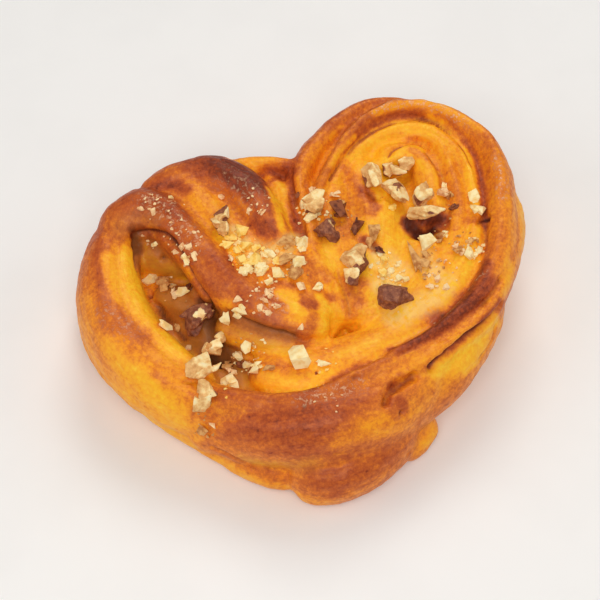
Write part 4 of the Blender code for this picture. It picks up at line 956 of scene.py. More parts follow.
@dataclass(frozen=True)
class BakedCrust:
    """Sweet yeast dough, brushed with egg and baked: satin, golden where sheltered, mahogany on crests."""

    stops: Stops = (
        (0.0, "#ffc92e"),
        (0.12, "#feb820"),
        (0.25, "#fba91c"),
        (0.37, "#f4961b"),
        (0.5, "#e07b1e"),
        (0.62, "#c9651f"),
        (0.74, "#b6521d"),
        (0.86, "#9d4117"),
        (1.0, "#742a0d"),
    )
    # over the crust: dull ochre, partly painted shade; sugar dots and painted glints; nut meal; painted shade
    shaded_ochre_colour: str = "#b3702a"
    sugar_glint_colour: str = "#f4c193"
    meal_colour: str = "#fddb84"
    shade_colour: str = "#3f1506"
    cover: float = 0.85
    shade_power: float = 1.8
    mottle_mm: float = 8.0
    grain_mm: float = 2.0
    speck_mm: float = 1.0
    pore_mm: float = 0.55
    streak_length_mm: float = 14.0
    streak_width_mm: float = 1.5
    # how far mottle, grain, dust and streaks swing the browning, and how much a scorched speck adds to it
    swings: tuple[float, ...] = (0.05, 0.07, 0.07, 0.06)
    scorch: float = 0.16
    # between which values of their noise specks show, between which brownings they gain, and from which share
    speck_span: tuple[float, float] = (0.7, 0.8)
    scorch_span: tuple[float, float] = (0.15, 0.6)
    scorch_least: float = 0.2
    satin: tuple[float, float] = (0.4, 0.62)
    # strength and depth in millimetres of pores, grain and streaks
    relief: tuple[tuple[float, float], ...] = ((0.3, 0.2), (0.35, 0.7), (0.3, 0.6))

    def make(self) -> Material:
        """Builds the material."""
        surface = {
            "Specular IOR Level": 0.22,
            "Subsurface Weight": 0.05,
            "Subsurface Radius": (1.0, 0.45, 0.12),
            "Subsurface Scale": 1.2 * MM,
            "Coat Weight": 0.16,
            "Coat Roughness": 0.27,
        }
        material, tree, shader = new_material("baked_crust", surface)
        place = add_node(tree, "TexCoord").outputs["Object"]
        mottle, grain, speck, dust, pores = (
            self.add_noise(tree, place, size, detail)
            for size, detail in (
                (self.mottle_mm, 5.0),
                (self.grain_mm, 4.0),
                (self.speck_mm * 2, 2.0),
                (self.speck_mm, 3.0),
                (self.pore_mm, 3.0),
            )
        )
        streak = self.add_streaks(tree)
        heat = self.add_heat(tree, (mottle, grain, dust, streak), speck)
        ramp = add_node(tree, "ValToRGB", None, Fac=heat)
        fill_ramp(ramp, self.stops)
        colour = self.add_layers(tree, ramp.outputs[0], grain, dust)
        tree.links.new(colour, shader.inputs["Base Color"])

        # egg wash: satin all over, duller with the grain and where shade is painted
        satin = add_node(tree, "MapRange", span(NOISE_LOW, NOISE_HIGH, *self.satin), Value=grain)
        painted_shade = add_node(tree, "Attribute", {"attribute_name": Layer.SHADE.value}).outputs["Fac"]
        rough = add_node(tree, "Math", {"operation": "MAXIMUM"}, _0=satin.outputs[0], _1=painted_shade)
        tree.links.new(rough.outputs[0], shader.inputs["Roughness"])
        facing = {}
        for height, (strength, depth) in zip((pores, grain, streak), self.relief):
            settings = {"in:Strength": strength, "in:Distance": depth * MM}
            facing = {"Normal": add_node(tree, "Bump", settings, Height=height, **facing).outputs[0]}
        tree.links.new(facing["Normal"], shader.inputs["Normal"])
        tree.links.new(facing["Normal"], shader.inputs["Coat Normal"])
        return material

    def add_noise(self, tree: NodeTree, place: NodeSocket, size: float, detail: float) -> NodeSocket:
        """Adds noise with lumps of a size in millimetres, at a place in metres."""
        settings = {"in:Scale": 1 / (size * MM), "in:Detail": detail, "in:Roughness": 0.65}
        return add_node(tree, "TexNoise", settings, Vector=place).outputs["Fac"]

    def add_streaks(self, tree: NodeTree) -> NodeSocket:
        """Adds the fine layers that run along each rolled fold.

        Args:
            tree: The material's node tree.

        Returns:
            Noise that is long along the folds and narrow across them.
        """
        along = add_node(tree, "Attribute", {"attribute_name": "fold_along"}).outputs["Fac"]
        across = add_node(tree, "Attribute", {"attribute_name": "fold_across"}).outputs["Fac"]
        length = add_node(tree, "Math", {"operation": "DIVIDE", "in:1": self.streak_length_mm}, _0=along)
        width = add_node(tree, "Math", {"operation": "DIVIDE", "in:1": self.streak_width_mm}, _0=across)
        spot = add_node(tree, "CombineXYZ", None, X=length.outputs[0], Y=width.outputs[0]).outputs[0]
        settings = {"in:Scale": 1.0, "in:Detail": 3.0, "in:Roughness": 0.6}
        return add_node(tree, "TexNoise", settings, Vector=spot).outputs["Fac"]

    def add_heat(self, tree: NodeTree, sources: tuple[NodeSocket, ...], speck: NodeSocket) -> NodeSocket:
        """Adds painted shade and the unevenness of the oven's heat to the browning.

        Args:
            tree: The material's node tree.
            sources: Noises that swing the browning, as many as there are swings.
            speck: Noise whose peaks scorch.

        Returns:
            How brown each spot is, from 0 to 1.
        """
        baked = add_node(tree, "Attribute", {"attribute_name": Layer.BROWNING.value}).outputs["Fac"]
        painted_shade = add_node(tree, "Attribute", {"attribute_name": Layer.SHADE.value}).outputs["Fac"]
        # painted shade also pulls the browning towards mahogany
        heat = add_node(tree, "Math", {"operation": "MAXIMUM"}, _0=baked, _1=painted_shade).outputs[0]
        ready = add_node(tree, "MapRange", span(*self.scorch_span, self.scorch_least), Value=heat)
        for source, swing in zip(sources, self.swings):
            swung = add_node(tree, "MapRange", span(NOISE_LOW, NOISE_HIGH, -swing, swing), Value=source)
            heat = add_node(tree, "Math", {"operation": "ADD"}, _0=heat, _1=swung.outputs[0]).outputs[0]
        peaks = add_node(tree, "MapRange", span(*self.speck_span, top=self.scorch), Value=speck)
        specks = add_node(tree, "Math", {"operation": "MULTIPLY"}, _0=peaks.outputs[0], _1=ready.outputs[0])
        total = {"operation": "ADD", "use_clamp": True}
        return add_node(tree, "Math", total, _0=heat, _1=specks.outputs[0]).outputs[0]

    def add_layers(
        self, tree: NodeTree, crust: NodeSocket, grain: NodeSocket, dust: NodeSocket
    ) -> NodeSocket:
        """Lays dull ochre, nut meal, sugar with painted glints, and painted shade over the crust's colour.

        Args:
            tree: The material's node tree.
            crust: The crust's colour.
            grain: Fine noise, which breaks up the meal.
            dust: Finer noise, whose peaks are the sugar dots and painted glints.

        Returns:
            The colour of it all.
        """
        colour = crust
        for layer, tone, mask, low, high in (
            (Layer.SHADED_OCHRE, self.shaded_ochre_colour, None, 0.0, 1.0),
            (Layer.MEAL, self.meal_colour, grain, 0.38, 0.52),
            (Layer.SUGAR_GLINT, self.sugar_glint_colour, dust, 0.52, 0.66),
            (Layer.SHADE, self.shade_colour, None, 0.0, 1.0),
        ):
            share = add_node(tree, "Attribute", {"attribute_name": layer.value}).outputs["Fac"]
            if mask is not None:
                spots = add_node(tree, "MapRange", span(low, high), Value=mask).outputs[0]
                share = add_node(tree, "Math", {"operation": "MULTIPLY"}, _0=share, _1=spots).outputs[0]
            if layer is Layer.SHADE:
                power = {"operation": "POWER", "in:1": self.shade_power}
                share = add_node(tree, "Math", power, _0=share).outputs[0]
            cover = {"operation": "MULTIPLY", "in:1": self.cover, "use_clamp": True}
            kept = add_node(tree, "Math", cover, _0=share).outputs[0]
            paint = {"data_type": "RGBA", "in:7": linear(tone)}
            colour = add_node(tree, "Mix", paint, Factor=kept, _6=colour).outputs[2]
        return colour


@dataclass(frozen=True)
class WalnutFinish:
    """Chopped walnut: waxy cream where the knife went through, thin wrinkled brown skin outside."""

    flesh: Stops = ((0.1, "#c98a48"), (0.36, "#efbf7a"), (0.5, "#ffe1a0"), (0.68, "#fff0be"))
    skin: Stops = ((0.36, "#6a3420"), (0.5, "#8a4e36"), (0.66, "#b07048"))
    flesh_mm: float = 2.2
    fibre_mm: float = 1.4
    fibre_depth_mm: float = 0.4
    # how far the skin's edge wanders, and how sharp it is
    fray: float = 0.25
    edge: tuple[float, float] = (0.44, 0.56)

    def make(self) -> Material:
        """Builds the material."""
        surface = {
            "Roughness": 0.55,
            "Specular IOR Level": 0.35,
            "Subsurface Weight": 0.1,
            "Subsurface Radius": (1.0, 0.6, 0.3),
            "Subsurface Scale": 0.8 * MM,
        }
        material, tree, shader = new_material("walnut", surface)
        place = add_node(tree, "TexCoord").outputs["Object"]
        skin = add_node(tree, "Attribute", {"attribute_name": "skin"}).outputs["Fac"]
        darkening = add_node(tree, "Attribute", {"attribute_name": "darkening"}).outputs["Fac"]
        waxy = {"in:Scale": 1 / (self.flesh_mm * MM), "in:Detail": 4.0, "in:Roughness": 0.65}
        patches = add_node(tree, "TexNoise", waxy, Vector=place).outputs["Fac"]
        browned = add_node(tree, "Math", {"operation": "SUBTRACT"}, _0=patches, _1=darkening).outputs[0]
        flesh = add_node(tree, "ValToRGB", None, Fac=browned)
        fill_ramp(flesh, self.flesh)
        wrinkled = {"in:Scale": 1 / (self.fibre_mm * MM), "in:Detail": 5.0, "in:Roughness": 0.7}
        fibre = add_node(tree, "TexNoise", wrinkled, Vector=place).outputs["Fac"]
        hide = add_node(tree, "ValToRGB", None, Fac=fibre)
        fill_ramp(hide, self.skin)
        frayed = add_node(tree, "MapRange", span(NOISE_LOW, NOISE_HIGH, -self.fray, self.fray), Value=fibre)
        wavy = add_node(tree, "Math", {"operation": "ADD"}, _0=skin, _1=frayed.outputs[0]).outputs[0]
        shown = add_node(tree, "MapRange", span(*self.edge), Value=wavy).outputs[0]
        faces = {"Factor": shown, "_6": flesh.outputs[0], "_7": hide.outputs[0]}
        colour = add_node(tree, "Mix", {"data_type": "RGBA"}, **faces).outputs[2]
        tree.links.new(colour, shader.inputs["Base Color"])
        settings = {"in:Strength": 0.5, "in:Distance": self.fibre_depth_mm * MM}
        relief = add_node(tree, "Bump", settings, Height=fibre).outputs[0]
        tree.links.new(relief, shader.inputs["Normal"])
        return material


@dataclass(frozen=True)
class PlainFinish:
    """Two shades of one colour in small patches, for what is too small to show more."""

    name: str
    low: str
    high: str
    roughness: float
    patch_mm: float = 1.6
    toned: bool = True

    def make(self) -> Material:
        """Builds the material."""
        surface = {"Roughness": self.roughness, "Specular IOR Level": 0.3}
        material, tree, shader = new_material(self.name, surface)
        place = add_node(tree, "TexCoord").outputs["Object"]
        settings = {"in:Scale": 1 / (self.patch_mm * MM), "in:Detail": 3.0}
        patches = add_node(tree, "TexNoise", settings, Vector=place).outputs["Fac"]
        if self.toned:
            tone = add_node(tree, "Attribute", {"attribute_name": "tone"}).outputs["Fac"]
            patches = add_node(tree, "Math", {"operation": "MULTIPLY"}, _0=patches, _1=tone).outputs[0]
        ramp = add_node(tree, "ValToRGB", None, Fac=patches)
        fill_ramp(ramp, ((0.36, self.low), (0.56, self.high)))
        tree.links.new(ramp.outputs[0], shader.inputs["Base Color"])
        return material


# ---------- Dough ----------


# Below the first height the skin is the cut foot, and above it no lump reaches below the second.
FOOT_MM = 0.05
CLEAR_MM = 0.02
# How much of their wandering the strokes show.
WANDER_SHARE = 0.6


@dataclass
class FoldReading:
    """What the folds say about each spot of the skin.

    Attributes:
        browning: How brown it baked.
        along: How far along its fold it lies, in millimetres.
        across: How far round its fold's cross-section it lies, in millimetres.
    """

    browning: np.ndarray
    along: np.ndarray
    across: np.ndarray


@dataclass
class FoldReader:
    """Finds for spots of the skin which folds' surfaces they lie on. Lengths are in millimetres."""

    # samples for each span of a fold, how far outside it is looked at, and how softly its colour ends
    steps: int = 16
    reach: float = 2.5
    blur: float = 0.7
    # how far apart the folds' lengthwise measures start
    shift: float = 41.0
    # how brown the body between the folds is, and how much it weighs against them
    bare: tuple[float, float] = (0.4, 0.02)
    # between which shares of its width a fold's left flank passes into its right one
    flank_span: tuple[float, float] = (-0.3, 0.3)
    # how steep its side is where its flank passes into its crest, as the sine of the angle
    crest_span: tuple[float, float] = (0.3, 0.95)
    # spots closer to its axis than this share of its size count as that far out
    inner: float = 0.2
    # what a fold weighs at spots that it is too far from
    faint: float = 1e-6

    def read(self, points: np.ndarray) -> FoldReading:
        """Reads all folds at all points.

        Args:
            points: The spots, in millimetres.

        Returns:
            The values there.
        """
        count = len(points)
        browning, share = self.bare
        total = np.full(count, browning * share, np.float32)
        weights = np.full(count, share, np.float32)
        best = np.zeros(count, np.float32)
        reading = FoldReading(total, points[:, 0].copy(), points[:, 1].copy())
        for number, fold in enumerate(FOLDS):
            path = np.array(spline(stations_of(fold), self.steps), np.float32)
            near, weight, value, along, across = self.read_fold(points, path)
            total[near] += weight * value
            weights[near] += weight
            wins = near[weight > best[near]]
            chosen = weight > best[near]
            best[near] = np.maximum(best[near], weight)
            reading.along[wins] = along[chosen] + number * self.shift
            reading.across[wins] = across[chosen] + number * self.shift
        reading.browning = total / weights
        return reading

    def read_fold(self, points: np.ndarray, path: np.ndarray) -> tuple[np.ndarray, ...]:
        """Reads one fold at the points close to it.

        Args:
            points: The spots, in millimetres.
            path: The fold's samples.

        Returns:
            The numbers of the points close to it, and their weights, brownings and places along and across.
        """
        centres = path[:, :3].copy()
        centres[:, 2] -= path[:, 4]
        widest = path[:, 3:5].max() + self.reach
        inside = ((points > centres.min(0) - widest) & (points < centres.max(0) + widest)).all(1)
        near = np.flatnonzero(inside)
        spots = points[near]
        tangent = np.gradient(centres, axis=0)
        stride = np.linalg.norm(tangent, axis=1)
        tangent /= stride[:, None]
        sideways = np.cross(tangent, np.array((0, 0, 1), np.float32))
        sideways /= np.linalg.norm(sideways, axis=1)[:, None]
        up = np.cross(sideways, tangent)
        run = np.concatenate(((0.0,), np.cumsum(np.linalg.norm(np.diff(centres, axis=0), axis=1))))
        nearest = np.zeros(len(spots), np.int64)
        least = np.full(len(spots), np.inf, np.float32)
        for index, centre in enumerate(centres):
            gap = ((spots - centre) ** 2).sum(1)
            closer = gap < least
            least[closer] = gap[closer]
            nearest[closer] = index
        offset = spots - centres[nearest]
        half_width, half_height = path[nearest, 3], path[nearest, 4]
        ahead = (offset * tangent[nearest]).sum(1)
        lateral = (offset * sideways[nearest]).sum(1) / half_width
        vertical = (offset * up[nearest]).sum(1) / half_height
        size = np.sqrt(lateral**2 + vertical**2 + (ahead / half_width) ** 2)
        outside = np.maximum(size - 1, 0) * np.minimum(half_width, half_height)
        weight = np.exp(-((outside / self.blur) ** 2)) + self.faint
        crest, left, right = path[nearest, 5], path[nearest, 6], path[nearest, 7]
        flank = left + (right - left) * smoothstep(*self.flank_span, lateral)
        rise = smoothstep(*self.crest_span, vertical / np.maximum(size, self.inner))
        value = flank + (crest - flank) * rise
        along = run[nearest] + ahead
        across = np.arctan2(lateral, vertical) * half_width
        return near, weight, value, along, across


@dataclass
class Dough:
    """The whole bun without its toppings. Lengths are in millimetres."""

    # the body under the folds: its top, its underside, which is cut off, and how it bulges between them
    body_top: float = 21.0
    body_bottom: float = -2.5
    body_levels: int = 16
    body_roundness: float = 2.6
    body_inset: float = 14.0
    outline_steps: int = 12
    # a fold's rings for each span, the sides of a ring, and how wide a blunt end is, as a share of its width
    fold_steps: int = 10
    ring_sides: int = 24
    end_flatness: float = 0.15
    # the size of the skin's faces, and how often it is smoothed, all over and where folds ran together
    voxel: float = 0.6
    passes: int = 3
    melt_passes: int = 40
    # how far it draws in, to stay inside the CAD's box, how much more at the top, and between which heights
    settle: float = 0.36
    settle_more: float = 0.5
    settle_span: tuple[float, float] = (34.0, 41.0)
    # risen dough's lumps and dimples, the broadest first, and the heights between which they fade at the foot
    lumps: tuple[Waves, Waves, Waves] = (Waves(0.42, 7.0, 3.1), Waves(0.2, 3.2, 7.7), Waves(0.07, 1.5, 1.3))
    calm_span: tuple[float, float] = (0.2, 3.0)
    # ridges of its rolled layers, and how much longer than wide they are
    ridges: Waves = Waves(0.09, 2.6, 4.4)
    ridge_stretch: float = 5.0
    # how uneven the creases are, how far they pass their width, and at which shares of depth shade is painted
    waver: Waves = Waves(0.35, 2.5, 8.2)
    crease_spill: float = 1.4
    crease_shade: tuple[float, float] = (0.25, 0.95)
    # how unevenly far the strokes reach, the share of it that is coloured in full, and how far they pass it
    wander: tuple[Waves, Waves] = (Waves(0.3, 4.0, 5.5), Waves(0.2, 1.5, 2.5))
    stroke_core: float = 0.15
    stroke_spill: float = 1.3
    # how brown it is underneath, how far that covers the rest, and up to which height it shows
    foot: tuple[float, float, float] = (0.62, 0.7, 2.5)
    finish: BakedCrust = field(default_factory=BakedCrust)

    def build(self) -> Object:
        """Builds the dough and dresses it.

        Returns:
            The finished object.
        """
        shell = bmesh.new()
        self.add_body(shell)
        for fold in FOLDS:
            self.add_fold(shell, stations_of(fold))
        bmesh.ops.recalc_face_normals(shell, faces=shell.faces)
        skin = remeshed(shell, self.voxel, self.passes)
        self.cut_foot(skin)
        skin = melted(skin, self.melt_passes)
        reading = FoldReader().read(mesh_points(skin))
        self.ripple(skin, reading)
        shade = self.crease(skin)
        self.bake(skin, reading, shade)
        return finished(skin, "dough_crust", self.finish.make())

    def grow_ring(self, shell: BMesh, edges: list) -> tuple[list, list]:
        """Extrudes a closed ring of edges.

        Args:
            shell: The shape that grows.
            edges: The ring's edges.

        Returns:
            The new ring's edges and its vertices.
        """
        grown = bmesh.ops.extrude_edge_only(shell, edges=edges)["geom"]
        verts = [item for item in grown if isinstance(item, BMVert)]
        fresh = set(verts)
        ring = [item for item in grown if isinstance(item, BMEdge) and fresh.issuperset(item.verts)]
        return ring, verts

    def add_fold(self, shell: BMesh, stations: tuple) -> None:
        """Sweeps one roll of dough along its stations, with rounded ends.

        Args:
            shell: The shape that it is added to.
            stations: The fold's rows.
        """
        path = spline(stations, self.fold_steps)
        centres = [in_row_frame(row[0], row[1], row[2] - row[4]) for row in path]
        run = [0.0]
        for before, after in zip(centres, centres[1:]):
            run.append(run[-1] + (after - before).length)
        edges: list = []
        last = None
        for index, row in enumerate(path):
            half_width, half_height = row[3], row[4]
            ahead = centres[min(index + 1, len(path) - 1)]
            behind = centres[max(index - 1, 0)]
            along = (ahead - behind).normalized()
            across = along.cross(Vector((0, 0, 1))).normalized()
            up = across.cross(along)
            blunt = 1.0 - min(min(run[index], run[-1] - run[index]) / half_width, 1.0)
            taper = math.sqrt(1.0 - blunt**2) * (1 - self.end_flatness) + self.end_flatness
            turn = Matrix((across, up, along)).transposed().to_4x4()
            size = Matrix.Diagonal((half_width * taper, half_height * taper, 1, 1))
            place = Matrix.Scale(MM, 4) @ Matrix.Translation(centres[index]) @ turn @ size
            if last is None:
                sides = self.ring_sides
                ring = bmesh.ops.create_circle(shell, segments=sides, radius=1, cap_ends=True, matrix=place)
                edges = list({edge for vert in ring["verts"] for edge in vert.link_edges})
            else:
                edges, verts = self.grow_ring(shell, edges)
                bmesh.ops.transform(shell, matrix=place @ last.inverted(), verts=verts)
            last = place
        bmesh.ops.contextual_create(shell, geom=edges)

    def add_body(self, shell: BMesh) -> None:
        """Adds the bulging heart that the folds lie on, level by level from its underside."""
        count = len(HEART_OUTLINE)
        wrapped = tuple(HEART_OUTLINE[(at - 1) % count] for at in range(count + 3))
        steps = self.outline_steps
        spots = ((at + 1, step / steps) for at in range(count) for step in range(steps))
        outline = [spline_point(wrapped, at, share) for at, share in spots]
        middle = (self.body_top + self.body_bottom) / 2
        half = (self.body_top - self.body_bottom) / 2
        base = [in_row_frame(x, y, middle) * MM for x, y in outline]
        verts = [shell.verts.new(place) for place in base]
        edges = list(shell.faces.new(verts).edges)
        for level in range(self.body_levels + 1):
            rise = -math.cos(math.pi * level / self.body_levels)
            spread = max(1 - abs(rise) ** self.body_roundness, 0.0) ** (1 / self.body_roundness)
            inset = (1 - spread) * self.body_inset
            if level:
                edges, verts = self.grow_ring(shell, edges)
            for vert, place in zip(verts, base):
                share = 1 - inset * MM / math.hypot(place.x, place.y)
                vert.co = Vector((place.x * share, place.y * share, (middle + rise * half) * MM))
        bmesh.ops.contextual_create(shell, geom=edges)

    def cut_foot(self, skin: Mesh) -> None:
        """Cuts the dough flat where it rests."""
        shell = bmesh.new()
        shell.from_mesh(skin)
        whole = shell.verts[:] + shell.edges[:] + shell.faces[:]
        table = {"plane_co": (0, 0, 0), "plane_no": (0, 0, 1)}
        bmesh.ops.bisect_plane(shell, geom=whole, dist=0.05 * MM, clear_inner=True, **table)
        bmesh.ops.holes_fill(shell, edges=shell.edges)
        bmesh.ops.triangulate(shell, faces=[face for face in shell.faces if len(face.verts) > 4])
        shell.to_mesh(skin)
        shell.free()

    def ripple(self, skin: Mesh, reading: FoldReading) -> None:
        """Gives the skin the low lumps and dimples of risen dough, and ridges along its rolled layers.

        Args:
            skin: The skin.
            reading: What the folds say about it.
        """
        points = mesh_points(skin)
        normals = mesh_normals(skin)
        height = points[:, 2]
        flat = np.zeros(len(points), np.float32)
        layers = np.stack((reading.along / self.ridge_stretch, reading.across, flat), axis=1)
        broad, small, fine = self.lumps
        lift = broad.at(points) + small.at(points)
        lift += fine.at(points) + self.ridges.at(layers)
        lift *= smoothstep(*self.calm_span, height)
        lift -= self.settle * (1 + self.settle_more * smoothstep(*self.settle_span, height))
        moved = points + normals * lift[:, None]
        moved[:, 2] = np.where(height < FOOT_MM, height, np.maximum(moved[:, 2], CLEAR_MM))
        put_points(skin, moved)

    def crease(self, skin: Mesh) -> np.ndarray:
        """Presses the creases and holes into the skin.

        Args:
            skin: The skin.

        Returns:
            How much shade is painted at each spot, from 0 to 1.
        """
        points = mesh_points(skin)
        normals = mesh_normals(skin)
        shade = np.zeros(len(points), np.float32)
        sunk = np.zeros(len(points), np.float32)
        waver = 1 + self.waver.at(points)
        for width, depth, dark, *route in CREASES:
            near, away = near_route(points, route, width * self.crease_spill)
            profile = 1 - smoothstep(0.0, 1.0, away / (width * waver[near]))
            sunk[near] = np.maximum(sunk[near], depth * profile)
            shade[near] = np.maximum(shade[near], dark * smoothstep(*self.crease_shade, profile))
        moved = points - normals * sunk[:, None]
        moved[:, 2] = np.maximum(moved[:, 2], 0.0)
        put_points(skin, moved)
        return shade

    def bake(self, skin: Mesh, reading: FoldReading, shade: np.ndarray) -> None:
        """Works out how the crust looks at each spot, and stores it on the mesh.

        Args:
            skin: The skin.
            reading: What the folds say about it.
            shade: The shade painted in the creases and holes.
        """
        points = mesh_points(skin)
        layers = {layer: np.zeros(len(points), np.float32) for layer in Layer}
        layers[Layer.BROWNING] = reading.browning
        layers[Layer.SHADE] = shade
        broad, fine = self.wander
        wander = broad.at(points) + fine.at(points)
        for layer, strokes in STROKES.items():
            values = layers[layer]
            for target, strength, radius, *route in strokes:
                near, away = near_route(points, route, radius * self.stroke_spill)
                fade = smoothstep(self.stroke_core, 1.0, away / radius + wander[near] * WANDER_SHARE)
                values[near] += (target - values[near]) * (strength * (1 - fade))
        browning, cover, height = self.foot
        under = 1 - smoothstep(0.0, height, points[:, 2])
        layers[Layer.BROWNING] += (browning - layers[Layer.BROWNING]) * under * cover
        for layer, values in layers.items():
            put_values(skin, layer.value, np.clip(values, 0, 1))
        put_values(skin, "fold_along", reading.along)
        put_values(skin, "fold_across", reading.across)


# ---------- Walnuts and crumbs ----------


class Cut(Enum):
    """How much brown skin a chopped piece has kept, as a share of its outside."""

    KERNEL = 0.15
    MIXED = 0.42
    HALF = 0.6
    SKIN = 0.95


def random_direction(chance: random.Random) -> Vector:
    """A direction by chance."""
    return Vector([chance.uniform(-1, 1) for _ in range(3)]).normalized()


def make_chip(chance: random.Random, corners: int) -> BMesh:
    """Makes a chip with flat sides and sharp edges, about 1 in radius.

    Args:
        chance: Chooses its corners.
        corners: How many corners it may have.

    Returns:
        The closed shape.
    """
    chip = bmesh.new()
    for _ in range(corners):
        chip.verts.new(random_direction(chance) * chance.uniform(0.75, 1.1))
    hull = bmesh.ops.convex_hull(chip, input=chip.verts)
    inner = [item for item in hull["geom_interior"] if isinstance(item, BMVert)]
    bmesh.ops.delete(chip, geom=inner, context="VERTS")
    return chip


def make_lump(chance: random.Random, knobs: int, corners: int) -> BMesh:
    """Makes a broken lump of nut out of a few chips that grow into each other, about 1 in radius.

    Args:
        chance: Chooses their shapes and places.
        knobs: How many chips stick out of it.
        corners: How many corners a chip may have.

    Returns:
        The closed shapes, in one mesh.
    """
    lump = bmesh.new()
    add_into(lump, make_chip(chance, corners))
    for _ in range(knobs):
        chip = make_chip(chance, corners)
        place = Matrix.Translation(random_direction(chance) * chance.uniform(0.4, 0.75))
        place @= Matrix.Scale(chance.uniform(0.4, 0.65), 4)
        bmesh.ops.transform(chip, matrix=place, verts=chip.verts)
        add_into(lump, chip)
    return lump


def add_into(shell: BMesh, piece: BMesh) -> None:
    """Copies one shape into another.

    Args:
        shell: The shape that grows.
        piece: The other one. It is freed.
    """
    carried = bpy.data.meshes.new("carried")
    piece.to_mesh(carried)
    piece.free()
    shell.from_mesh(carried)
    bpy.data.meshes.remove(carried)


def fit_to_size(shape: BMesh, size: tuple[float, float, float]) -> None:
    """Moves a shape's middle to the origin and scales it.

    Args:
        shape: The shape.
        size: What it is to measure along x, y and z.
    """
    places = np.array([vert.co for vert in shape.verts])
    low, high = places.min(0), places.max(0)
    scale = Matrix.Diagonal((*(np.array(size) / (high - low)), 1))
    shift = Matrix.Translation(Vector(-(low + high) / 2))
    bmesh.ops.transform(shape, matrix=scale @ shift, verts=shape.verts)


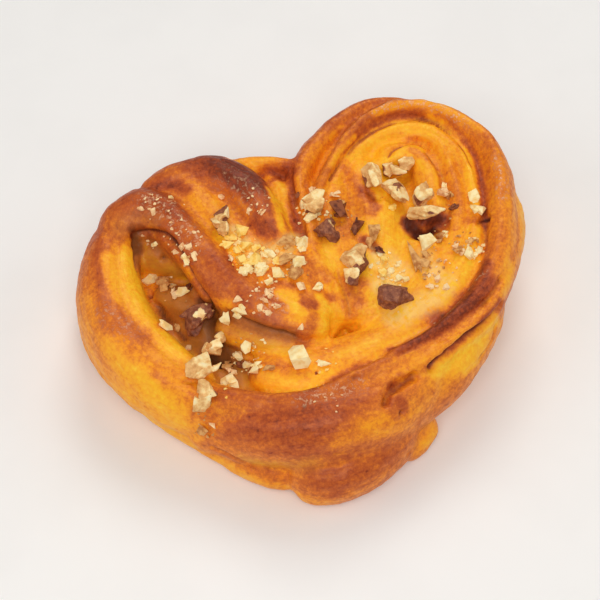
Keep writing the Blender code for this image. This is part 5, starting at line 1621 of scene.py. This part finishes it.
@dataclass(frozen=True)
class WalnutPiece:
    """One chopped piece of walnut: knobs of kernel, cut by the knife, with wrinkled skin where it stayed."""

    # the CAD node that it stands for, and the start of its chance
    node: str
    seed: int
    # its middle and size in millimetres, its turn about the vertical and its lean along x and y in degrees
    place: tuple[float, float, float]
    size: tuple[float, float, float]
    turn: float
    lean: tuple[float, float]
    # how much skin it has, and how many knobs in a row; a piece with one is a compact lump
    cut: Cut
    knobs: int
    # how many knobs stick out of such a lump, corners of a knob, and flat sides that the knife left
    lump_knobs: int = 3
    corners: int = 13
    slices: int = 3
    # the size of its faces, and the height and width of its broad and its fine wrinkles, in millimetres
    voxel: float = 0.22
    wrinkles: tuple[tuple[float, float], ...] = ((0.34, 1.9), (0.12, 0.9))
    wrinkle_middle: float = 0.14
    # how far from a flat cut its smoothness fades out, and how much of the wrinkles it takes away
    fresh_span: tuple[float, float] = (0.2, 0.5)
    smoothness: float = 0.75
    # how far the skin's edge wanders, how wide its waves are, how softly it ends, and how much of a cut shows
    # on a piece that kept all its skin
    fray: tuple[float, float] = (0.35, 2.2)
    edge: float = 0.25
    bared: float = 0.15
    # how toasted its broken sides are, how much darker its hollows are, below which height, and the limits
    toasted: float = 0.2
    hollow_darkening: float = 0.5
    toast_height: float = 0.1
    toast_limits: tuple[float, float] = (-0.1, 0.4)

    def build(self, material: Material) -> Object:
        """Builds the piece.

        Args:
            material: Its finish.

        Returns:
            The finished object.
        """
        chance = random.Random(self.seed)
        shell = self.add_knobs(chance) if self.knobs > 1 else make_lump(chance, self.lump_knobs, self.corners)
        bmesh.ops.recalc_face_normals(shell, faces=shell.faces)
        facings = self.slice(shell, chance)
        fit_to_size(shell, self.size)
        tilt = Matrix.Rotation(math.radians(self.lean[0]), 4, "Y")
        tilt @= Matrix.Rotation(math.radians(self.lean[1]), 4, "X")
        turn = tilt @ Matrix.Rotation(math.radians(self.turn), 4, "Z")
        planes = []
        for facing in facings:
            normal = (turn @ Vector(np.array(facing) / self.size)).normalized()
            far = max((turn @ vert.co).dot(normal) for vert in shell.verts)
            planes.append((far, normal))
        spot = Matrix.Translation(in_row_frame(*self.place))
        bmesh.ops.transform(shell, matrix=Matrix.Scale(MM, 4) @ spot @ turn, verts=shell.verts)
        skin = remeshed(shell, self.voxel, 1)
        self.dress(skin, planes)
        return finished(skin, self.node + "_piece", material)

    def add_knobs(self, chance: random.Random) -> BMesh:
        """Makes a row of knobs that grow into each other, thickest in the middle, about 1 in radius.

        Args:
            chance: Chooses their shapes and places.

        Returns:
            The closed shapes, in one mesh.
        """
        shell = bmesh.new()
        for number in range(self.knobs):
            knob = make_chip(chance, self.corners)
            along = (number + 0.5) / self.knobs * 2 - 1
            away = Vector((along * 0.6, chance.uniform(-0.25, 0.25), chance.uniform(-0.12, 0.12)))
            girth = chance.uniform(0.42, 0.56) * (1.1 - 0.3 * abs(along))
            place = Matrix.Translation(away) @ Matrix.Scale(girth, 4)
            bmesh.ops.transform(knob, matrix=place, verts=knob.verts)
            add_into(shell, knob)
        return shell

    def slice(self, shell: BMesh, chance: random.Random) -> list[Vector]:
        """Cuts the piece flat on some sides, the first of them on top.

        Args:
            shell: The piece's shape.
            chance: Chooses the cuts.

        Returns:
            The direction that each cut faces.
        """
        facings = []
        low, high = (0.55, 0.75) if self.knobs > 1 else (0.62, 0.85)
        for number in range(self.slices):
            facing = random_direction(chance)
            facing.z = abs(facing.z) + (1.4 if number == 0 else 0.1)
            facing.normalize()
            far = max(vert.co.dot(facing) for vert in shell.verts)
            whole = shell.verts[:] + shell.edges[:] + shell.faces[:]
            blade = {"plane_co": facing * far * chance.uniform(low, high), "plane_no": facing}
            bmesh.ops.bisect_plane(shell, geom=whole, dist=0.001, clear_outer=True, **blade)
            bmesh.ops.holes_fill(shell, edges=shell.edges)
            facings.append(facing)
        bmesh.ops.triangulate(shell, faces=shell.faces)
        return facings

    def dress(self, skin: Mesh, planes: list[tuple[float, Vector]]) -> None:
        """Wrinkles the piece, and marks where it kept its skin, how toasted it is and how dark its hollows
        are.

        Args:
            skin: The piece's mesh.
            planes: For each flat cut how far from the middle it is, in millimetres, and where it faces.
        """
        points = mesh_points(skin)
        normals = mesh_normals(skin)
        middle = points - np.array(self.place)
        fresh = np.zeros(len(points), np.float32)
        for far, facing in planes:
            away = np.abs(middle @ np.array(facing) - far)
            fresh = np.maximum(fresh, 1 - smoothstep(*self.fresh_span, away))
        side = np.array(random_direction(random.Random(self.seed * 31 + 5)))
        facing_side = middle @ side / np.maximum(np.linalg.norm(middle, axis=1), 0.5)
        line = 1 - 2 * self.cut.value
        frayed = facing_side + Waves(*self.fray, self.seed + 9).at(points)
        kept = smoothstep(line - self.edge, line + self.edge, frayed)
        bare = fresh * (self.bared if self.cut is Cut.SKIN else 1.0)
        put_values(skin, "skin", kept * (1 - bare))
        broad, fine = self.wrinkles
        wrinkles = np.abs(Waves(*broad, self.seed).at(points)) + Waves(*fine, self.seed + 3).at(points)
        darkening = self.toasted * (1 - fresh) + self.hollow_darkening * (self.toast_height - wrinkles)
        put_values(skin, "darkening", np.clip(darkening, *self.toast_limits))
        lift = (wrinkles - self.wrinkle_middle) * (1 - self.smoothness * fresh)
        put_points(skin, points + normals * lift[:, None])


# Each walnut's middle, size, turn, lean, cut and number of knobs, as a WalnutPiece has them.
WALNUTS = (
    ((13.8, -2.3, 34.3), (14.0, 7.8, 5.6), 72, (8, 8), Cut.MIXED, 3),
    ((22.9, -12.8, 31.8), (10.0, 7.6, 5.2), -10, (-8, 17), Cut.SKIN, 1),
    ((23.5, 23.0, 36.8), (9.2, 5.4, 4.8), 87, (5, 0), Cut.KERNEL, 1),
    ((31.8, 26.6, 35.1), (9.8, 5.0, 4.4), 8, (0, 20), Cut.MIXED, 3),
    ((29.2, 18.0, 35.6), (8.8, 6.0, 5.2), -72, (16, 0), Cut.KERNEL, 1),
    ((35.8, 15.2, 36.1), (7.6, 5.4, 5.0), 36, (-14, 0), Cut.KERNEL, 1),
    ((35.3, 9.2, 36.7), (11.0, 3.4, 4.2), -8, (-8, 0), Cut.KERNEL, 1),
    ((6.9, 17.8, 36.5), (7.8, 6.6, 5.2), 80, (-8, 0), Cut.KERNEL, 4),
    ((8.9, 8.9, 35.7), (8.2, 6.4, 5.0), -60, (-8, 0), Cut.SKIN, 3),
    ((-18.6, 15.8, 37.2), (9.8, 5.2, 4.6), 80, (0, 4), Cut.HALF, 3),
    ((-28.5, -6.6, 26.2), (10.0, 8.6, 7.0), 60, (-10, 20), Cut.SKIN, 1),
    ((-25.0, -14.2, 23.9), (7.4, 6.2, 5.2), 10, (-10, 15), Cut.MIXED, 4),
    ((-28.9, -23.0, 28.4), (11.2, 6.8, 4.2), 24, (14, 0), Cut.KERNEL, 1),
    ((-29.4, -31.8, 28.1), (8.8, 5.8, 4.8), 72, (-4, 14), Cut.KERNEL, 4),
)
WALNUT_SEED = 7
CRUMB_SEED = 100


@dataclass
class CrumbSheet:
    """All the crumbs of one kind, as one piece.

    Attributes:
        kind: Which kind.
        finish: What they look like.
        seed: Starts their chance.
        start: A height above all of the dough, in millimetres.
        lone: A crumb shorter than this is one chip.
        knobs: How many knobs stick out of a larger one.
        corners: How many corners a chip may have.
        tones: How far the tones of placed and of sprinkled crumbs differ.
        sink: The height of a crumb's middle over the skin, as a share of its thickness.
    """

    kind: Crumb
    finish: PlainFinish
    seed: int
    start: float = 60.0
    lone: float = 2.0
    knobs: int = 2
    corners: int = 10
    tones: tuple[float, float] = (0.12, 0.2)
    sink: float = 0.28

    def build(self, surface: BVHTree) -> Object:
        """Builds the crumbs on the dough.

        Args:
            surface: The dough's skin, in metres.

        Returns:
            The finished object.
        """
        chance = random.Random(self.seed)
        shell = bmesh.new()
        tones = shell.verts.layers.float.new("tone")
        placed, sprinkled = self.tones
        for x, y, length, width in CRUMBS[self.kind]:
            self.add_crumb(shell, surface, (x, y), (length, width), chance)
            self.tint(shell, tones, chance.uniform(-placed, placed))
        for x, y, radius, count, smallest, largest, kind in SPRINKLES:
            for _ in range(count if kind is self.kind else 0):
                angle = chance.uniform(0, math.tau)
                away = radius * math.sqrt(chance.random())
                size = smallest + (largest - smallest) * chance.random() ** 2
                place = (x + math.cos(angle) * away, y + math.sin(angle) * away)
                self.add_crumb(shell, surface, place, (size, size * chance.uniform(0.6, 1.0)), chance)
                self.tint(shell, tones, chance.uniform(-sprinkled, sprinkled))
        mesh = bpy.data.meshes.new(f"crumbs_{self.kind.value}")
        shell.to_mesh(mesh)
        shell.free()
        mesh.materials.append(self.finish.make())
        return add_object(mesh.name, mesh)

    def tint(self, shell: BMesh, tones: BMLayerItem, tone: float) -> None:
        """Gives the crumb that was added last a tone of its own."""
        for vert in shell.verts:
            if vert[tones] == 0.0:
                vert[tones] = 1.0 + tone

    def add_crumb(
        self, shell: BMesh, surface: BVHTree, place: tuple, size: tuple, chance: random.Random
    ) -> None:
        """Adds one crumb to the sheet, set into the dough's skin: one chip, or a few if it is large.

        Args:
            shell: The sheet's shape.
            surface: The dough's skin, in metres.
            place: Where it lies, as x and y in millimetres.
            size: Its length along x and its width along y.
            chance: The sheet's chance.
        """
        above = in_row_frame(*place, self.start) * MM
        hit, normal, _, _ = surface.ray_cast(above, Vector((0, 0, -1)))
        if hit is None:
            return
        thickness = min(size) * chance.uniform(0.6, 0.9)
        crumb = make_lump(chance, self.knobs if max(size) > self.lone else 0, self.corners)
        fit_to_size(crumb, (*size, thickness))
        spin = Matrix.Rotation(chance.uniform(-0.5, 0.5), 4, "Z")
        tilt = Vector((0, 0, 1)).rotation_difference(normal).to_matrix().to_4x4()
        lift = Matrix.Translation(hit + normal * thickness * self.sink * MM)
        matrix = lift @ tilt @ Matrix.Scale(MM, 4) @ spin
        bmesh.ops.transform(crumb, matrix=matrix, verts=crumb.verts)
        add_into(shell, crumb)


# ---------- Studio ----------


# What the lamps face, and how far the floor reaches each way, in metres.
BUN_HEART = (0, 0, 0.02)
FLOOR_SIZE = 3.0
FLOOR_PATCH_MM = 30.0


@dataclass(frozen=True)
class Lamp:
    """One soft square light that faces the bun.

    Attributes:
        name: Its name.
        place: Where it hangs, in metres.
        size: The side of its square, in metres.
        power: Its strength, in watts.
        colour: Its colour.
    """

    name: str
    place: tuple[float, float, float]
    size: float
    power: float
    colour: str

    def hang(self) -> None:
        """Adds the light to the scene."""
        light = bpy.data.lights.new(self.name, "AREA")
        light.shape = "SQUARE"
        light.size = self.size
        light.energy = self.power
        light.color = linear(self.colour)[:3]
        lamp = add_object(self.name, light)
        lamp.location = self.place
        lamp.rotation_euler = (Vector(BUN_HEART) - Vector(self.place)).to_track_quat("-Z", "Y").to_euler()


LAMPS = (
    Lamp("front_light", (-0.08, -0.38, 0.57), 0.35, 1.98, "#fffaf4"),
    Lamp("window_light", (0.1, 0.39, 0.57), 0.3, 1.42, "#fffaf4"),
    Lamp("left_wall_glow", (-0.6, -0.1, 0.35), 0.5, 0.9, "#ffffff"),
    Lamp("right_wall_glow", (0.6, -0.1, 0.35), 0.5, 0.78, "#ffffff"),
)


@dataclass
class Studio:
    """A pale floor, soft light and the camera.

    Attributes:
        azimuth: The camera's angle round the bun, in degrees from -Y.
        elevation: Its height above the table, in degrees.
        distance: How far it stands, in metres.
        target_height: The height that it looks at, in millimetres.
        lens: Its focal length in millimetres.
        sensor: The width of its sensor.
        nearest: How near it still sees, in metres.
        room: Strength of the light from all round.
    """

    azimuth: float = -10.0
    elevation: float = 55.0
    distance: float = 0.45
    target_height: float = 18.0
    lens: float = 101.25
    sensor: float = 36.0
    nearest: float = 0.01
    room: float = 0.275

    def build(self) -> None:
        """Sets up floor, lights, world and camera."""
        self.add_floor()
        self.add_camera()
        for lamp in LAMPS:
            lamp.hang()
        world = bpy.data.worlds.new("soft_room")
        world.use_nodes = True
        background = world.node_tree.nodes["Background"]
        background.inputs["Color"].default_value = linear("#ffffff")
        background.inputs["Strength"].default_value = self.room
        scene = bpy.context.scene
        scene.world = world
        scene.view_settings.view_transform = "Standard"

    def add_floor(self) -> None:
        """Lays a wide pale floor under the bun."""
        shell = bmesh.new()
        bmesh.ops.create_grid(shell, x_segments=1, y_segments=1, size=FLOOR_SIZE)
        mesh = bpy.data.meshes.new("floor")
        shell.to_mesh(mesh)
        shell.free()
        paint = PlainFinish("floor_paint", "#f4f4f3", "#f6f6f5", 0.8, FLOOR_PATCH_MM, False)
        mesh.materials.append(paint.make())
        add_object("floor", mesh)

    def add_camera(self) -> None:
        """Stands the camera where the photograph was taken from."""
        side, height = math.radians(self.azimuth), math.radians(self.elevation)
        level = math.cos(height)
        back = Vector((math.sin(side) * level, -math.cos(side) * level, math.sin(height)))
        target = in_row_frame(0, 0, self.target_height) * MM
        lens = bpy.data.cameras.new("camera")
        lens.lens = self.lens
        lens.sensor_width = self.sensor
        lens.clip_start = self.nearest
        camera = add_object("camera", lens)
        camera.location = target + back * self.distance
        camera.rotation_euler = (-back).to_track_quat("-Z", "Y").to_euler()
        bpy.context.scene.camera = camera


# ---------- The whole ----------


def surface_tree(piece: Object) -> BVHTree:
    """Makes a search tree of a piece's skin, in metres."""
    places = [vert.co.copy() for vert in piece.data.vertices]
    faces = [tuple(polygon.vertices) for polygon in piece.data.polygons]
    return BVHTree.FromPolygons(places, faces)


def report(piece: Object) -> None:
    """Logs how many triangles a finished piece has."""
    piece.data.calc_loop_triangles()
    LOG.info("%s: %d triangles", piece.name, len(piece.data.loop_triangles))


def main() -> None:
    """Builds the bun's pieces in order, then the studio, and logs each piece's triangles."""
    logging.basicConfig(level=logging.INFO, format="%(name)s %(message)s")
    dough = Dough().build()
    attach(dough, "root")
    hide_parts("dough")
    report(dough)

    walnut = WalnutFinish().make()
    for index, (place, size, turn, lean, cut, knobs) in enumerate(WALNUTS):
        node = f"walnut_{index + 1:02d}"
        piece = WalnutPiece(node, WALNUT_SEED + index, place, size, turn, lean, cut, knobs).build(walnut)
        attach(piece, "root")
        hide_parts(node)
        report(piece)

    surface = surface_tree(dough)
    finishes = {
        Crumb.CREAM: PlainFinish("nut_crumb", "#f8d489", "#ffedb4", 0.6),
        Crumb.TOASTED: PlainFinish("toasted_crumb", "#b8763c", "#e6b06a", 0.6),
        Crumb.BUTTER: PlainFinish("buttery_crumb", "#f8b93f", "#ffdb7c", 0.55),
        Crumb.PALE: PlainFinish("sugary_crumb", "#eab078", "#fbd9a4", 0.55),
        Crumb.SKIN: PlainFinish("skin_crumb", "#5e2818", "#95522e", 0.55),
    }
    for seed, (kind, finish) in enumerate(finishes.items()):
        sheet = CrumbSheet(kind, finish, CRUMB_SEED + seed).build(surface)
        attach(sheet, "root")
        report(sheet)

    Studio().build()


if __name__ == "__main__":
    main()
